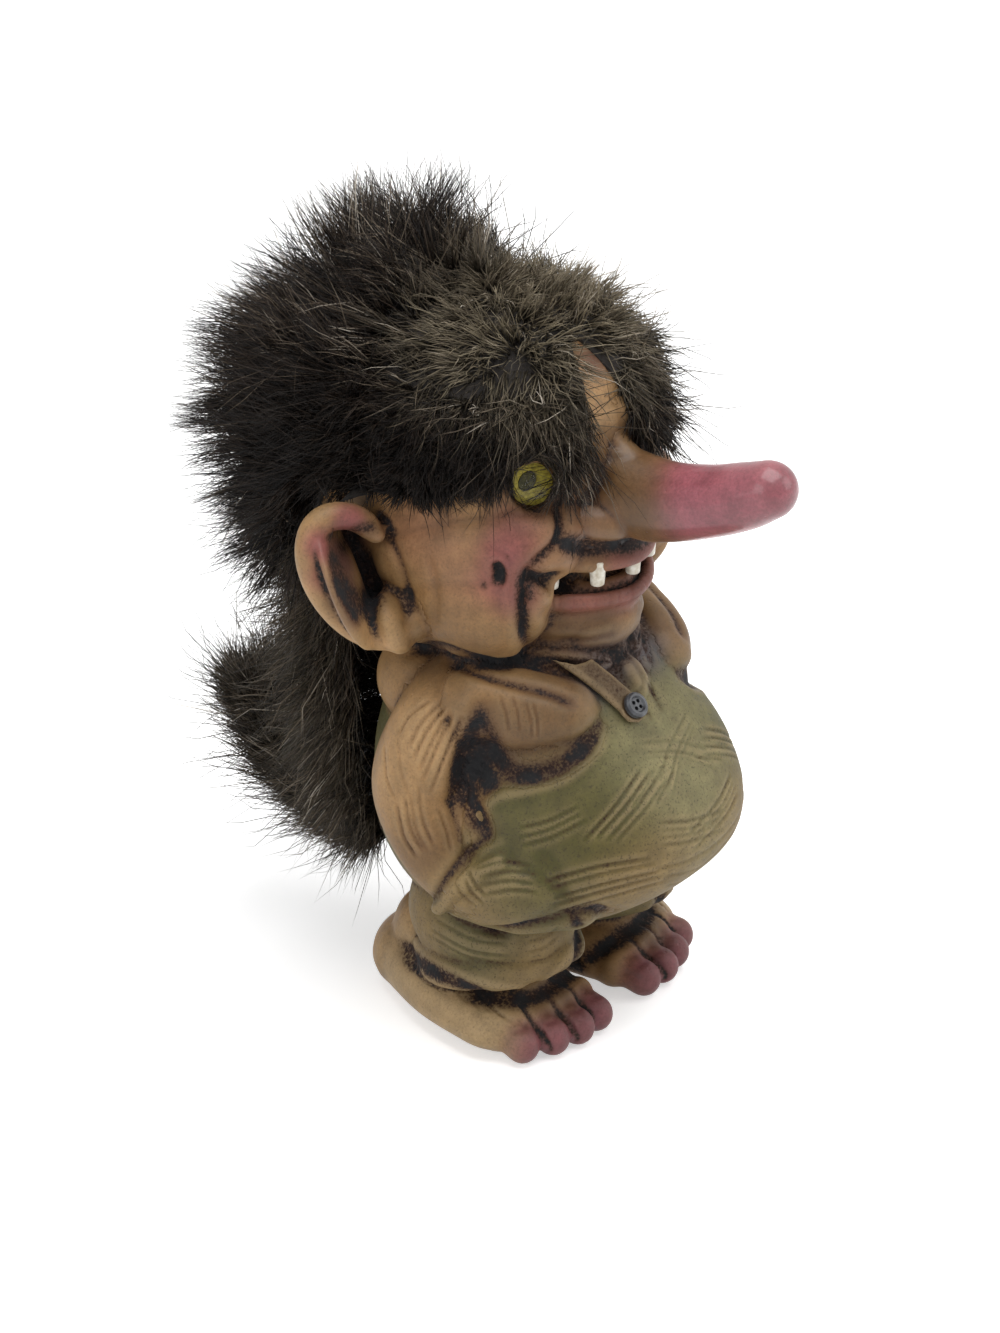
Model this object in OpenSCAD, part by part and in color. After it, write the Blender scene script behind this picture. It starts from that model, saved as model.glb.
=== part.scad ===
// Standing troll figure: painted latex skin over a foam filling, glass eyes, fur wig, mane and tail.
// The figure faces -Y and stands on Z = 0. Its origin is under the middle of the whole figure.
// Forms are laid out about the body axis, and the last lines move them all back by `middle_y`.

/* [Feet] */
// Heel to toe length of a foot
foot_l = 45; // [40:1:50]
// Width across the toes
foot_w = 24.5; // [22:0.5:27]
// Thickness of a toe
toe_d = 6.6; // [5.6:0.2:7.4]
// Toes on each foot
toe_count = 4; // [3:1:5]
// Height of the ankle, which the trouser leg hides
ankle_h = 15; // [13:0.5:17]
// How far the heels lie behind the body axis
heel_y = 17; // [14:0.5:20]
// Distance of a heel from the middle plane
heel_x = 9.5; // [9:0.5:12]
// How far each foot turns outwards, in degrees
foot_splay = 6; // [4:1:12]

/* [Body] */
// Widest breadth of the belly
belly_w = 54; // [48:1:60]
// How far the belly reaches forward of the body axis
belly_reach = 40; // [36:1:44]
// How far the back lies behind the body axis
back_reach = 17; // [14:1:20]
// Height of the underside of the body
crotch_h = 20; // [17:1:21]
// Height at which the neck meets the head
neck_h = 70; // [69:0.5:72]
// Thickness of the latex skin
skin_t = 2.6; // [1.6:0.2:3.2]

/* [Overalls] */
// Height of the top edge of the bib
bib_h = 61; // [58:0.5:64]
// Half the width of the bib at its top edge
bib_half_w = 11; // [8:0.5:13]
// Depth of the armholes below the bib edge
armhole_depth = 13; // [10:0.5:16]
// How far the cloth stands proud of the skin
cloth_t = 0.9; // [0.6:0.1:1.4]
// Height of the trouser hems at the back
hem_h = 9; // [8:0.5:12]
// How much higher the hems are at the front
hem_rise = 5; // [3:0.5:7]
// Width of the shoulder strap
strap_w = 4.6; // [3.6:0.2:6]
// Thickness of the shoulder strap
strap_t = 1.3; // [0.9:0.1:1.8]
// Diameter of the strap button
button_d = 4.2; // [3.6:0.2:5]
// Thickness of the strap button
button_t = 1.4; // [1:0.1:2]
// Diameter of a hole in the button
button_hole_d = 0.7; // [0.5:0.1:0.9]

/* [Arms] */
// Radius of the upper arm
arm_r = 8.4; // [7:0.2:9]
// Distance of an elbow from the middle plane
elbow_x = 26; // [24:0.5:28]
// Height of the elbows
elbow_h = 46; // [43:1:49]
// Radius of a hand inside its pocket
hand_r = 8; // [6.4:0.2:8.4]

/* [Head] */
// Height of the jaw line above the ground
jaw_h = 66; // [64:0.5:67]
// Jaw line to the top of the skull
head_h = 57; // [53:1:61]
// Breadth of the head
head_w = 50; // [46:1:54]
// How far the brow reaches forward of the body axis
face_reach = 22.5; // [21:0.5:25]
// How far the back of the skull lies behind the body axis
skull_reach = 33; // [30:1:37]

/* [Face] */
// How far the nose stands out from the brow
nose_l = 34; // [28:1:38]
// Radius of the nose at its middle
nose_r = 6; // [5:0.1:7]
// Height of the tip of the nose
nose_h = 101; // [98:0.5:104]
// Distance between the middles of the eyes
eye_span = 30; // [28:0.5:32]
// Height of the eyes
eye_h = 99.5; // [98:0.5:102]
// Diameter of a glass eye
eye_d = 6.8; // [6:0.1:7.6]
// Diameter of the wire shank of an eye
shank_d = 0.9; // [0.6:0.1:1.2]
// Length of the wire shank of an eye
shank_l = 9; // [7:0.5:12]
// Half the width of the mouth
mouth_half_w = 14.5; // [13:0.5:16]
// Height of the mouth opening
mouth_h = 82.5; // [81.5:0.5:83.5]
// Gape between the lips
mouth_gape = 3.4; // [2.6:0.2:4]
// How far the lips stand out from the brow
lip_reach = 6.5; // [5:0.5:8]
// Width of a tooth
tooth_w = 2.6; // [2:0.1:3]

/* [Ears] */
// Height of an ear
ear_h = 26; // [23:1:29]
// Breadth of an ear
ear_w = 21; // [18:1:23]
// Thickness of the rolled rim of an ear
rim_d = 4; // [3:0.2:5]
// How far the ears are turned back, in degrees
ear_turn = 32; // [24:1:40]

/* [Wig and tail] */
// Thickness of the woven backing of the fur
backing_t = 1; // [0.6:0.1:1.4]
// Depth of the fur where it lies flat
pile_t = 5; // [4:0.5:7]
// Length of the spiky locks
lock_l = 22; // [18:1:25]
// Height of the lower edge of the mane
mane_low = 20; // [17:0.5:24]
// Breadth of the mane
mane_w = 38; // [32:1:42]
// Depth of the mane behind the back
mane_depth = 26; // [22:1:30]
// How far the tail reaches behind the back
tail_reach = 40; // [34:1:44]
// Height of the tip of the tail
tail_tip_h = 45; // [38:1:52]

/* [Hidden] */

// Room left round an eye, a tooth, a shank or the button in its seat
clearance = 0.1;
// How square the level sections are: 2 is an ellipse
square = 2.4;
// Sides of the small balls that the folds, toes and locks are rounded with
$fn = 8;
// Sides of the turned pieces
turned = 48;

skin_tone = "#c9a26f";
blush = "#c07f7a";
olive = "#9c9c66";
wash = "#3d3a3c";
fur = "#4a423c";

left = 1;
right = -1;

// Vectors of length 1, and a smooth curve through the rows of a list, at u from 0 to 1
function unit(v) = v / norm(v);
function smooth(rows, u) =
    let (last = len(rows) - 1, s = min(u, 0.99999) * last, i = floor(s), t = s - i,
         a = rows[max(i - 1, 0)], b = rows[i], c = rows[i + 1], d = rows[min(i + 2, last)])
    0.5 * (2 * b + (c - a) * t + (2 * a - 5 * b + 4 * c - d) * t * t
           + (3 * b - a - 3 * c + d) * t * t * t);

// Faces that join rings of points into a closed form with flat ends
function form_faces(rings, sides) = [
    for (k = [0 : rings - 2], i = [0 : sides - 1])
        let (a = k * sides + i, b = k * sides + (i + 1) % sides)
            each [[a, a + sides, b], [b, a + sides, b + sides]],
    [for (i = [0 : sides - 1]) i],
    [for (i = [0 : sides - 1]) rings * sides - 1 - i]
];

// A sine or cosine raised to a power with its sign kept, which squares an ellipse a little
function soft(v) = sign(v) * pow(abs(v), 2 / square);

// Form of level rings. A row holds height, middle y, half width, reach forward and reach back
module stack(rows, sides = 16, steps = 9, grow = 0) {
    points = [
        for (k = [0 : steps], i = [0 : sides - 1])
            let (r = smooth(rows, k / steps), turn = 360 * i / sides)
                [(r[2] + grow) * soft(cos(turn)),
                 r[1] + ((sin(turn) < 0 ? r[3] : r[4]) + grow) * soft(sin(turn)),
                 r[0] + grow * (2 * k / steps - 1)]
    ];
    polyhedron(points, form_faces(steps + 1, sides));
}

// Point of such a form in front at a distance x from the middle plane, or behind it
function size_at(rows, z, column) = lookup(z, [for (r = rows) [r[0], r[column]]]);
function on_form(rows, x, z, behind = false) =
    let (share = min(abs(x) / size_at(rows, z, 2), 0.98), rest = pow(1 - pow(share, square), 1 / square))
    [x, size_at(rows, z, 1) + (behind ? size_at(rows, z, 4) : -size_at(rows, z, 3)) * rest, z];

// Point of such a form at an angle round it, counted from the front towards the left side
function round_form(rows, angle, z, out = 0) =
    let (reach = size_at(rows, z, cos(angle) > 0 ? 3 : 4))
    [(size_at(rows, z, 2) + out) * soft(sin(angle)),
     size_at(rows, z, 1) - (reach + out) * soft(cos(angle)),
     z];

// Round bar along a smooth path. A size holds its half breadth along x and its half depth
module bar(path, sizes, sides = 12, steps = 8) {
    cap = [0, 0.15, 0.45];
    first = sizes[0][1] / norm(path[len(path) - 1] - path[0]);
    last = sizes[len(sizes) - 1][1] / norm(path[len(path) - 1] - path[0]);
    stops = concat(
        [for (c = cap) [first * c, max(sqrt(1 - pow(1 - c, 2)), 0.15)]],
        [for (k = [0 : steps]) [first + (1 - first - last) * k / steps, 1]],
        [for (c = [2 : -1 : 0]) [1 - last * cap[c], max(sqrt(1 - pow(1 - cap[c], 2)), 0.15)]]);
    points = [
        for (s = stops)
            let (middle = smooth(path, s[0]), r = smooth(sizes, s[0]) * s[1],
                 way = unit(smooth(path, min(s[0] + 0.01, 1)) - smooth(path, max(s[0] - 0.01, 0))),
                 across = unit([1, 0, 0] - way * way.x),
                 up = cross(way, across))
                for (i = [0 : sides - 1])
                    middle + across * r[0] * cos(360 * i / sides) + up * r[1] * sin(360 * i / sides)
    ];
    polyhedron(points, form_faces(len(stops), sides));
}

// Two balls drawn together, and a row of such links through a list of points
module link(a, a_r, b, b_r) {
    hull() {
        translate(a) sphere(a_r);
        translate(b) sphere(b_r);
    }
}
module chain(points, radius) {
    for (k = [1 : len(points) - 1])
        link(points[k - 1], radius, points[k], radius, $fn = 6);
}

// The same piece on the left side, or mirrored on the right
module on_side(side) {
    if (side == left) children();
    else mirror([1, 0, 0]) children();
}

/* Feet */
toe_r = toe_d / 2;
toe_pitch = (foot_w - toe_d) / max(toe_count - 1, 1);
function toe_x(k) = -foot_w / 2 + toe_r + k * toe_pitch;
function toe_y(k) = -foot_l + toe_r + 0.5 * k * k;

module foot_form(side) {
    heel_r = foot_w * 0.36;
    on_side(side)
        translate([heel_x, heel_y, 0]) rotate([0, 0, foot_splay])
            intersection() {
                union() {
                    hull() {
                        translate([0, -heel_r, heel_r * 0.8]) sphere(heel_r, $fn = 10);
                        translate([0, -heel_r, 0]) cylinder(h = 1, r = heel_r * 0.85, $fn = 10);
                        for (k = [0, toe_count - 1])
                            translate([toe_x(k), toe_y(k) + toe_d * 1.3, toe_r]) sphere(toe_r * 1.15);
                    }
                    hull() {
                        translate([0, -heel_r * 1.2, ankle_h * 0.5]) sphere(heel_r, $fn = 10);
                        translate([0, -foot_l * 0.6, ankle_h * 0.35]) sphere(heel_r * 0.8);
                        translate([1, -heel_r * 1.6, ankle_h - 4]) sphere(4);
                    }
                    for (k = [0 : toe_count - 1])
                        link([toe_x(k) * 0.85, toe_y(k) + toe_d * 1.7, toe_d * 0.85], toe_r * 0.8,
                             [toe_x(k), toe_y(k), toe_r * 0.95], toe_r);
                }
                translate([-foot_l, -foot_l * 1.5, 0]) cube(foot_l * 2);
            }
}
module foot(side) {
    color(skin_tone)
        difference() {
            foot_form(side);
            leg_form(side);
        }
}
module foot_right() { foot(right); }
module foot_left() { foot(left); }

/* Body */
body_y = -9;
body_h = neck_h - crotch_h;
body_front = belly_reach + body_y;
body_back = back_reach - body_y;
body_half = belly_w / 2;
body_rows = [
    for (r = [
        [0, 0.5, 0.2, 0.5],
        [0.09, 0.8, 0.62, 0.74],
        [0.23, 0.96, 0.92, 0.9],
        [0.37, 1, 1, 0.96],
        [0.53, 0.96, 0.92, 1],
        [0.67, 0.87, 0.76, 0.97],
        [0.8, 0.76, 0.6, 0.88],
        [0.92, 0.6, 0.42, 0.74],
        [1, 0.44, 0.3, 0.56]
    ])
        [crotch_h + r[0] * body_h, body_y, r[1] * body_half, r[2] * body_front, r[3] * body_back]
];
chest_z = bib_h - 1;

module body_form(grow = 0) {
    stack(body_rows, grow = grow);
    for (side = [left, right])
        on_side(side)
            link([12, 5.8 - body_front * 0.6 + body_y, chest_z - 0.5], 5.6 + grow,
                 [19, body_y - 1, chest_z + 1], 7.4 + grow, $fn = 12);
}
// Folds scored into the neck, and the deep creases between the chest and the arms
module neck_folds() {
    for (side = [left, right])
        on_side(side) {
            chain([for (x = [1, 11]) on_form(body_rows, x, chest_z + 6.5) + [0, -0.4, 0]], 0.7);
            chain([for (z = [bib_h - 12, bib_h]) [18.5, body_y - 7 + (z - bib_h) * 0.3, z]], 1.1);
        }
}
module torso_skin() {
    color(skin_tone)
        difference() {
            body_form();
            neck_folds();
            core_form();
            head_form();
            stem_form(clearance);
        }
}

/* Arms */
function arm_path() = [
    [elbow_x - 9, body_y + 4, elbow_h + 15.5],
    [elbow_x - 4, body_y + 5, elbow_h + 9.5],
    [elbow_x - 2.5, body_y + 7.5, elbow_h],
    [elbow_x - 1, body_y + 3.5, elbow_h - 8],
    [elbow_x, body_y - 3, elbow_h - 13],
    [elbow_x - 1, body_y - 9, elbow_h - 14]
];
module arm_form(side) {
    on_side(side)
        bar(arm_path(), [for (share = [0.95, 1.02, 0.98, 0.84, 0.66, 0.5]) [share, share] * arm_r],
            sides = 12, steps = 6);
}
// Long wrinkles scored down the outside of the sleeveless arm
module arm_wrinkles(side) {
    on_side(side)
        for (k = [0 : 2])
            let (turn = 25 + 32 * k)
                chain([
                    for (s = [0.2, 0.34, 0.5])
                        smooth(arm_path(), s)
                            + arm_r * [cos(turn - 60), sin(turn - 60), 0.25] * (1 - 0.1 * s)
                ], 0.45);
}
module arm(side) {
    color(skin_tone)
        difference() {
            arm_form(side);
            arm_wrinkles(side);
            body_form();
            head_form();
        }
}
module arm_right() { arm(right); }
module arm_left() { arm(left); }

/* Overalls */
hand_z = elbow_h - 14;
leg_x = foot_w / 2 + 3;
leg_y = -9;
module leg_form(side) {
    cuff_r = 2.6;
    on_side(side) {
        hull() {
            for (turn = [0 : 36 : 324])
                translate([leg_x + (leg_x - 4.5) * cos(turn), leg_y + 13.8 * sin(turn),
                           hem_h + cuff_r + hem_rise * (1 - sin(turn)) / 2])
                    sphere(cuff_r, $fn = 6);
            translate([leg_x - 2, leg_y + 1, crotch_h + 9]) sphere(12.5, $fn = 10);
        }
    }
}
module hand_bulge(side) {
    on_side(side) {
        link([elbow_x - 2.5, body_y - 3, hand_z], hand_r * 0.85,
             [elbow_x - 4.5, body_y - 11, hand_z + 1], hand_r, $fn = 10);
        link([elbow_x - 4.5, body_y - 12, hand_z + 0.5], hand_r * 0.95,
             [elbow_x - 9, body_y - 18, hand_z], hand_r * 0.78, $fn = 8);
    }
}
// What the armholes and the low back leave open above the cloth
module above_cloth() {
    wide = 4 * belly_w;
    translate([-wide / 2, -wide / 2, bib_h]) cube([wide, wide, wide]);
    translate([-wide / 2, body_y, bib_h - armhole_depth + 2]) cube([wide, wide, wide]);
    for (side = [left, right])
        translate([side * (bib_half_w + armhole_depth), wide / 2, bib_h])
            rotate([90, 0, 0]) cylinder(h = wide, r = armhole_depth, $fn = 24);
}
module pocket_lip(side) {
    on_side(side)
        chain([[elbow_x + 4.5, body_y - 1, hand_z - 2], [elbow_x + 4, body_y - 7, hand_z + 6]], 1.8);
}
module overalls_form() {
    difference() {
        stack(body_rows, grow = cloth_t);
        above_cloth();
    }
    for (side = [left, right]) {
        leg_form(side);
        hand_bulge(side);
        pocket_lip(side);
    }
}
module overalls() {
    color(olive)
        difference() {
            overalls_form();
            body_form();
            for (side = [left, right]) arm_form(side);
            stem_form(clearance);
        }
}

/* Strap and button */
strap_x = -5;
strap_points = [
    on_form(body_rows, strap_x, bib_h - 1.5),
    on_form(body_rows, strap_x - 1.8, bib_h + 2),
    on_form(body_rows, strap_x - 3.4, bib_h + 4.8),
    [strap_x - 5, body_y - 5, neck_h - 0.5],
    [strap_x - 5, body_y + 2, neck_h - 0.5]
];
button_face = unit(cross(
    on_form(body_rows, strap_x + 2, bib_h - 1.5) - on_form(body_rows, strap_x - 2, bib_h - 1.5),
    on_form(body_rows, strap_x, bib_h + 1) - on_form(body_rows, strap_x, bib_h - 4)));
button_seat = strap_points[0] + button_face * (cloth_t + strap_t);

module strap_form() {
    last = len(strap_points) - 1;
    for (k = [0 : last - 1])
        hull()
            for (i = [k, k + 1]) {
                p = strap_points[i];
                way = unit(strap_points[min(i + 1, last)] - strap_points[max(i - 1, 0)]);
                out = unit(p - [strap_x, body_y, bib_h - 12]);
                across = unit(cross(way, out)) * (strap_w - strap_t) / 2;
                for (sign = [-1, 1])
                    translate(p + out * (cloth_t + strap_t / 2) + across * sign) sphere(d = strap_t, $fn = 6);
            }
    hull()
        for (turn = [0 : 45 : 315])
            at_button(-strap_t / 2)
                translate([cos(turn), sin(turn), 0] * (button_d + strap_w - 2 * strap_t) / 3)
                    sphere(d = strap_t, $fn = 6);
}
module at_button(lift) {
    translate(button_seat + button_face * lift)
        rotate([0, acos(button_face.z), atan2(button_face.y, button_face.x)]) children();
}
module shoulder_strap() {
    color(olive)
        difference() {
            strap_form();
            body_form();
            overalls_form();
            head_form();
            jaw_form();
            at_button(-0.3) cylinder(h = button_t * 2, d = button_d + 2 * clearance, $fn = turned);
        }
}
module strap_button() {
    rim = 0.7;
    color(wash)
        at_button(-0.3 + clearance)
            difference() {
                rotate_extrude($fn = turned)
                    polygon([
                        [0, 0], [button_d / 2 - rim / 2, 0], [button_d / 2, rim / 2],
                        [button_d / 2, button_t - rim / 2], [button_d / 2 - rim / 2, button_t],
                        [button_d / 2 - rim, button_t], [button_d / 2 - 1.4 * rim, button_t - rim / 2],
                        [0, button_t - rim / 2]
                    ]);
                for (turn = [45 : 90 : 315])
                    rotate([0, 0, turn])
                        translate([button_d * 0.17, 0, -1])
                            cylinder(h = button_t + 2, d = button_hole_d, $fn = 24);
            }
}

/* Head */
head_y = 4;
head_front = face_reach + head_y;
head_back = skull_reach - head_y;
head_half = head_w / 2;
head_rows = [
    for (r = [
        [0, 0.52, 0.58, 0.4],
        [0.06, 0.84, 0.78, 0.66],
        [0.17, 0.95, 0.86, 0.84],
        [0.31, 0.98, 0.92, 0.95],
        [0.45, 1, 0.97, 1],
        [0.59, 1, 1, 1],
        [0.72, 0.95, 0.98, 0.97],
        [0.84, 0.82, 0.86, 0.86],
        [0.93, 0.6, 0.62, 0.66],
        [1, 0.22, 0.22, 0.26]
    ])
        [jaw_h + r[0] * head_h, head_y, r[1] * head_half, r[2] * head_front, r[3] * head_back]
];
cheek_z = mouth_h + 6.5;

// Point on the arch of the lips, at an angle from the middle plane
lip_r = 2.4;
lip_root_y = -face_reach + 10.5;
function lip(angle, z, out = 0) =
    [(mouth_half_w + out) * sin(angle),
     lip_root_y - (face_reach + lip_reach + lip_root_y - lip_r + out) * cos(angle),
     z];
upper_lip_z = mouth_h + mouth_gape / 2 + lip_r * 0.8;
lower_lip_z = mouth_h - mouth_gape / 2 - lip_r * 0.8;

module lip_roll(z) {
    step = 30;
    for (angle = [-75 : step : 75 - step])
        link(lip(angle, z), lip_r, lip(angle + step, z), lip_r);
}
module head_form() {
    stack(head_rows);
    for (side = [left, right])
        on_side(side) {
            hull() {
                translate([14, -8.5, jaw_h + 9.5]) sphere(9, $fn = 12);
                translate([16, 1, jaw_h + 11.5]) sphere(9, $fn = 10);
                translate([13.5, 9 - face_reach, cheek_z]) sphere(9, $fn = 12);
                translate([17, -4, cheek_z - 3]) sphere(9, $fn = 10);
            }
            link([2, 4.5 - face_reach, eye_h + 5.5], 4.5, [15, 7.5 - face_reach, eye_h + 6.5], 4);
        }
    hull() {
        for (angle = [-60 : 30 : 60])
            translate(lip(angle, upper_lip_z + 1)) sphere(lip_r);
        translate([0, 7 - face_reach, cheek_z + 4]) sphere(7);
    }
    lip_roll(upper_lip_z);
}
// The open mouth, the creases between jowl and jaw, and the dimples in the cheeks
module face_hollows() {
    hull() {
        for (angle = [-80 : 32 : 80])
            translate(lip(angle, mouth_h, 1.5)) sphere(mouth_gape / 2);
        translate([0, lip_root_y - 3, mouth_h]) sphere(mouth_gape / 2);
    }
    for (side = [left, right])
        on_side(side) {
            chain([lip(80, mouth_h + 4, 1), lip(84, mouth_h - 3, 1.2), lip(70, mouth_h - 12, 0)], 1.1);
            translate([22.6, -14, mouth_h + 3.5]) sphere(1.3, $fn = 6);
        }
}
module head_skin() {
    color(skin_tone)
        difference() {
            head_form();
            face_hollows();
            core_form();
            for (side = [left, right]) {
                eye_place(side) sphere(eye_d / 2 + clearance, $fn = 12);
                shank_form(side, clearance);
            }
            tooth_forms(clearance);
        }
}

/* Jaw and teeth */
chin_z = mouth_h - 11;
module jaw_form() {
    hull() {
        for (angle = [-75 : 30 : 75])
            translate(lip(angle, lower_lip_z - 1.5, -0.6)) sphere(lip_r);
        for (x = [-8, 8])
            translate([x, lip(40, 0).y + 4, chin_z]) sphere(5);
        for (x = [-10, 10])
            translate([x, lip_root_y + 3, chin_z + 0.5]) sphere(5);
    }
    hull() {
        translate([-4, 1.5 - face_reach, chin_z + 0.5]) sphere(5.2, $fn = 10);
        translate([4, 1.5 - face_reach, chin_z + 0.5]) sphere(5.2, $fn = 10);
    }
    lip_roll(lower_lip_z);
}
module jaw_skin() {
    color(skin_tone)
        difference() {
            jaw_form();
            head_form();
            face_hollows();
            body_form();
            tooth_forms(clearance);
        }
}
tooth_h = mouth_gape + 0.8;
module tooth_forms(grow = 0) {
    for (angle = [-60 : 30 : 60])
        translate(lip(angle, mouth_h + 0.9, -0.4))
            cylinder(h = tooth_h, r1 = tooth_w * 0.42 + grow, r2 = tooth_w * 0.52 + grow, center = true, $fn = 10);
}
module teeth() {
    color("white") tooth_forms();
}

/* Nose */
nose_path = [
    [0, 7 - face_reach, nose_h - 8],
    [0, -2 - face_reach, nose_h - 6.2],
    [0, -2 - face_reach - nose_l * 0.26, nose_h - 4],
    [0, -2 - face_reach - nose_l * 0.52, nose_h - 2.3],
    [0, -2 - face_reach - nose_l * 0.76, nose_h - 0.8],
    [0, -face_reach - nose_l, nose_h]
];
module nose_form() {
    bar(nose_path, [[10, 8.2], [8.6, 7.8], [nose_r + 0.8, nose_r + 0.8], [nose_r, nose_r + 0.3],
                    [nose_r - 0.4, nose_r], [nose_r - 0.8, nose_r - 1]], steps = 6);
    for (side = [left, right])
        on_side(side) {
            link([6, 1 - face_reach, nose_h - 9], 4.2, [8.6, 3 - face_reach, nose_h - 8], 3.4);
            link([5.5, -1 - face_reach, nose_h - 10], 3.4, [4, -4 - face_reach, nose_h - 10], 3);
        }
}
module nose() {
    tip = nose_path[len(nose_path) - 1];
    color(blush)
        difference() {
            nose_form();
            head_form();
            jaw_form();
            tooth_forms(clearance);
            for (side = [left, right])
                on_side(side) {
                    link([5.4, 2 - face_reach, nose_h - 14], 1.2, [5, 0.5 - face_reach, nose_h - 11.5], 0.7);
                    link([2, -2.6 - face_reach, nose_h + 1.9], 0.5, [6.5, -1 - face_reach, nose_h - 1.2], 0.5);
                    eye_place(side) sphere(eye_d / 2 + clearance, $fn = 12);
                }
            translate(tip + [-nose_r * 0.72, 3.4, 1.2]) sphere(0.9);
        }
}

/* Ears */
ear_z = jaw_h + 0.3 * head_h;
ear_y = head_y - 3;
module ear_form(side) {
    rim_r = rim_d / 2;
    reach = ear_w * 0.5;
    rise = ear_h * 0.5;
    on_side(side)
        translate([head_half - 2.5, ear_y, ear_z]) rotate([-22, 0, ear_turn]) {
            chain([
                for (turn = [-140 : 40 : 140])
                    [reach + (reach - rim_r) * cos(turn), -1.5 - 1.2 * cos(turn),
                     (rise - rim_r) * sin(turn) * (turn < 0 ? 1 : 0.95)]
            ], rim_r);
            difference() {
                translate([reach, 1, 0]) scale([reach - 1, 3.6, rise - 1]) sphere(1, $fn = 10);
                translate([reach + 0.6, -2.6, 0.6]) scale([reach * 0.66, 4.4, rise * 0.68]) sphere(1);
            }
            chain([[reach * 0.75, 0, -rise * 0.4], [reach * 1.15, 0.6, 0], [reach * 0.95, 0.4, rise * 0.45]], 1.3);
            link([1.5, 0, -rise * 0.62], 3, [reach * 0.8, -0.8, -rise + 3.4], 3.2);
        }
}
// Room that the fur leaves round an ear
module ear_room(side) {
    on_side(side)
        translate([head_half - 2.5, ear_y, ear_z]) rotate([-22, 0, ear_turn])
            translate([ear_w * 0.42, -0.5, -0.3])
                scale([ear_w * 0.62, rim_d * 1.7, ear_h * 0.58]) sphere(1, $fn = 10);
}
module ear(side) {
    color(skin_tone)
        difference() {
            ear_form(side);
            head_form();
        }
}
module ear_right() { ear(right); }
module ear_left() { ear(left); }

/* Eyes */
eye_at = on_form(head_rows, eye_span / 2, eye_h) + [0, eye_d * 0.42, 0];
gaze_turn = 24;
glass_back = -0.9;
iris_t = 0.5;
pupil_d = eye_d * 0.36;

// Frame at the middle of a glass eye, with z along its gaze
module eye_place(side) {
    on_side(side) translate(eye_at) rotate([90, 0, gaze_turn]) children();
}
module eye_glass(side) {
    color("#c9a227")
        eye_place(side)
            intersection() {
                sphere(eye_d / 2, $fn = turned);
                translate([-eye_d, -eye_d, glass_back]) cube(eye_d * 2);
            }
}
iris_d = 2 * sqrt(pow(eye_d / 2, 2) - pow(glass_back - iris_t, 2)) - 0.05;
module eye_iris(side) {
    color("#e0b53a")
        eye_place(side)
            difference() {
                translate([0, 0, glass_back - iris_t]) cylinder(h = iris_t, d = iris_d, $fn = turned);
                translate([0, 0, glass_back - iris_t - 1])
                    cylinder(h = iris_t + 2, d = pupil_d + 2 * clearance, $fn = turned);
            }
}
module eye_pupil(side) {
    color("black")
        eye_place(side) translate([0, 0, glass_back - iris_t]) cylinder(h = iris_t, d = pupil_d, $fn = turned);
}
module shank_form(side, grow = 0) {
    eye_place(side)
        translate([0, 0, glass_back - iris_t - shank_l])
            cylinder(h = shank_l, d = shank_d + 2 * grow, $fn = 12);
}
module eye_shank(side) {
    color("silver") shank_form(side);
}
module eye_glass_right() { eye_glass(right); }
module eye_glass_left() { eye_glass(left); }
module eye_iris_right() { eye_iris(right); }
module eye_iris_left() { eye_iris(left); }
module eye_pupil_right() { eye_pupil(right); }
module eye_pupil_left() { eye_pupil(left); }
module eye_shank_right() { eye_shank(right); }
module eye_shank_left() { eye_shank(left); }

/* Foam filling, which the skin is cast round. The face is deeper than the rest of the skin */
face_depth = 5;
core_rows = concat(
    [for (k = [0 : 2 : 6]) body_rows[k]],
    [[neck_h - 4, -6, 10.5, 9, 10], [neck_h + 1, -2, 10.5, 10, 11]],
    [for (k = [2, 4, 6, 8, 9]) let (r = head_rows[k]) [r[0], r[1], r[2], max(r[3] - face_depth, 4), r[4]]]
);
module core_form() {
    stack(core_rows, sides = 10, steps = len(core_rows) - 1, grow = -skin_t);
}
module foam_core() {
    color("wheat")
        difference() {
            core_form();
            for (side = [left, right]) shank_form(side, clearance);
        }
}

/* Fur */
// Height of the hairline at an angle round the head, counted from the front
function hairline(angle) =
    jaw_h + head_h * lookup(abs(angle), [[0, 0.89], [14, 0.84], [24, 0.7], [42, 0.68], [52, 0.56],
                                         [64, 0.4], [80, 0.4], [94, 0.56], [114, 0.54], [130, 0.28],
                                         [180, 0.19]]);
module above_hairline() {
    far = 90;
    stops = [0, 24, 52, 66, 84, 120, 150, 180];
    for (side = [left, right], k = [1 : len(stops) - 1])
        hull()
            for (a = [stops[k - 1], stops[k]], reach = [0.1, far], z = [hairline(a), hairline(a) + far])
                translate([side * reach * sin(a), head_y - reach * cos(a), z]) cube(0.1, center = true);
}
module wig_backing() {
    color(wash)
        difference() {
            intersection() {
                stack(head_rows, grow = backing_t);
                above_hairline();
            }
            head_form();
            for (side = [left, right]) {
                ear_room(side);
                eye_place(side) sphere(eye_d / 2 + 0.4, $fn = 8);
            }
        }
}
// The fur as a mass, swept back behind the skull. Rows are laid out as for the head
hair_rows = [
    for (r = [
        [0.18, 12, 0.8, 0.9, 1.2],
        [0.4, 8, 1, 1, 1.42],
        [0.6, 6, 1.03, 1.02, 1.4],
        [0.78, 5, 0.96, 0.98, 1.26],
        [0.92, 5, 0.8, 0.8, 1.04],
        [1.02, 6, 0.52, 0.5, 0.72],
        [1.08, 9, 0.16, 0.12, 0.2]
    ])
        [jaw_h + r[0] * head_h, head_y - 4 + r[1] * 0.9, r[2] * (head_half + pile_t - 1),
         r[3] * (head_front + pile_t - 2.5), r[4] * head_back]
];
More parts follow.
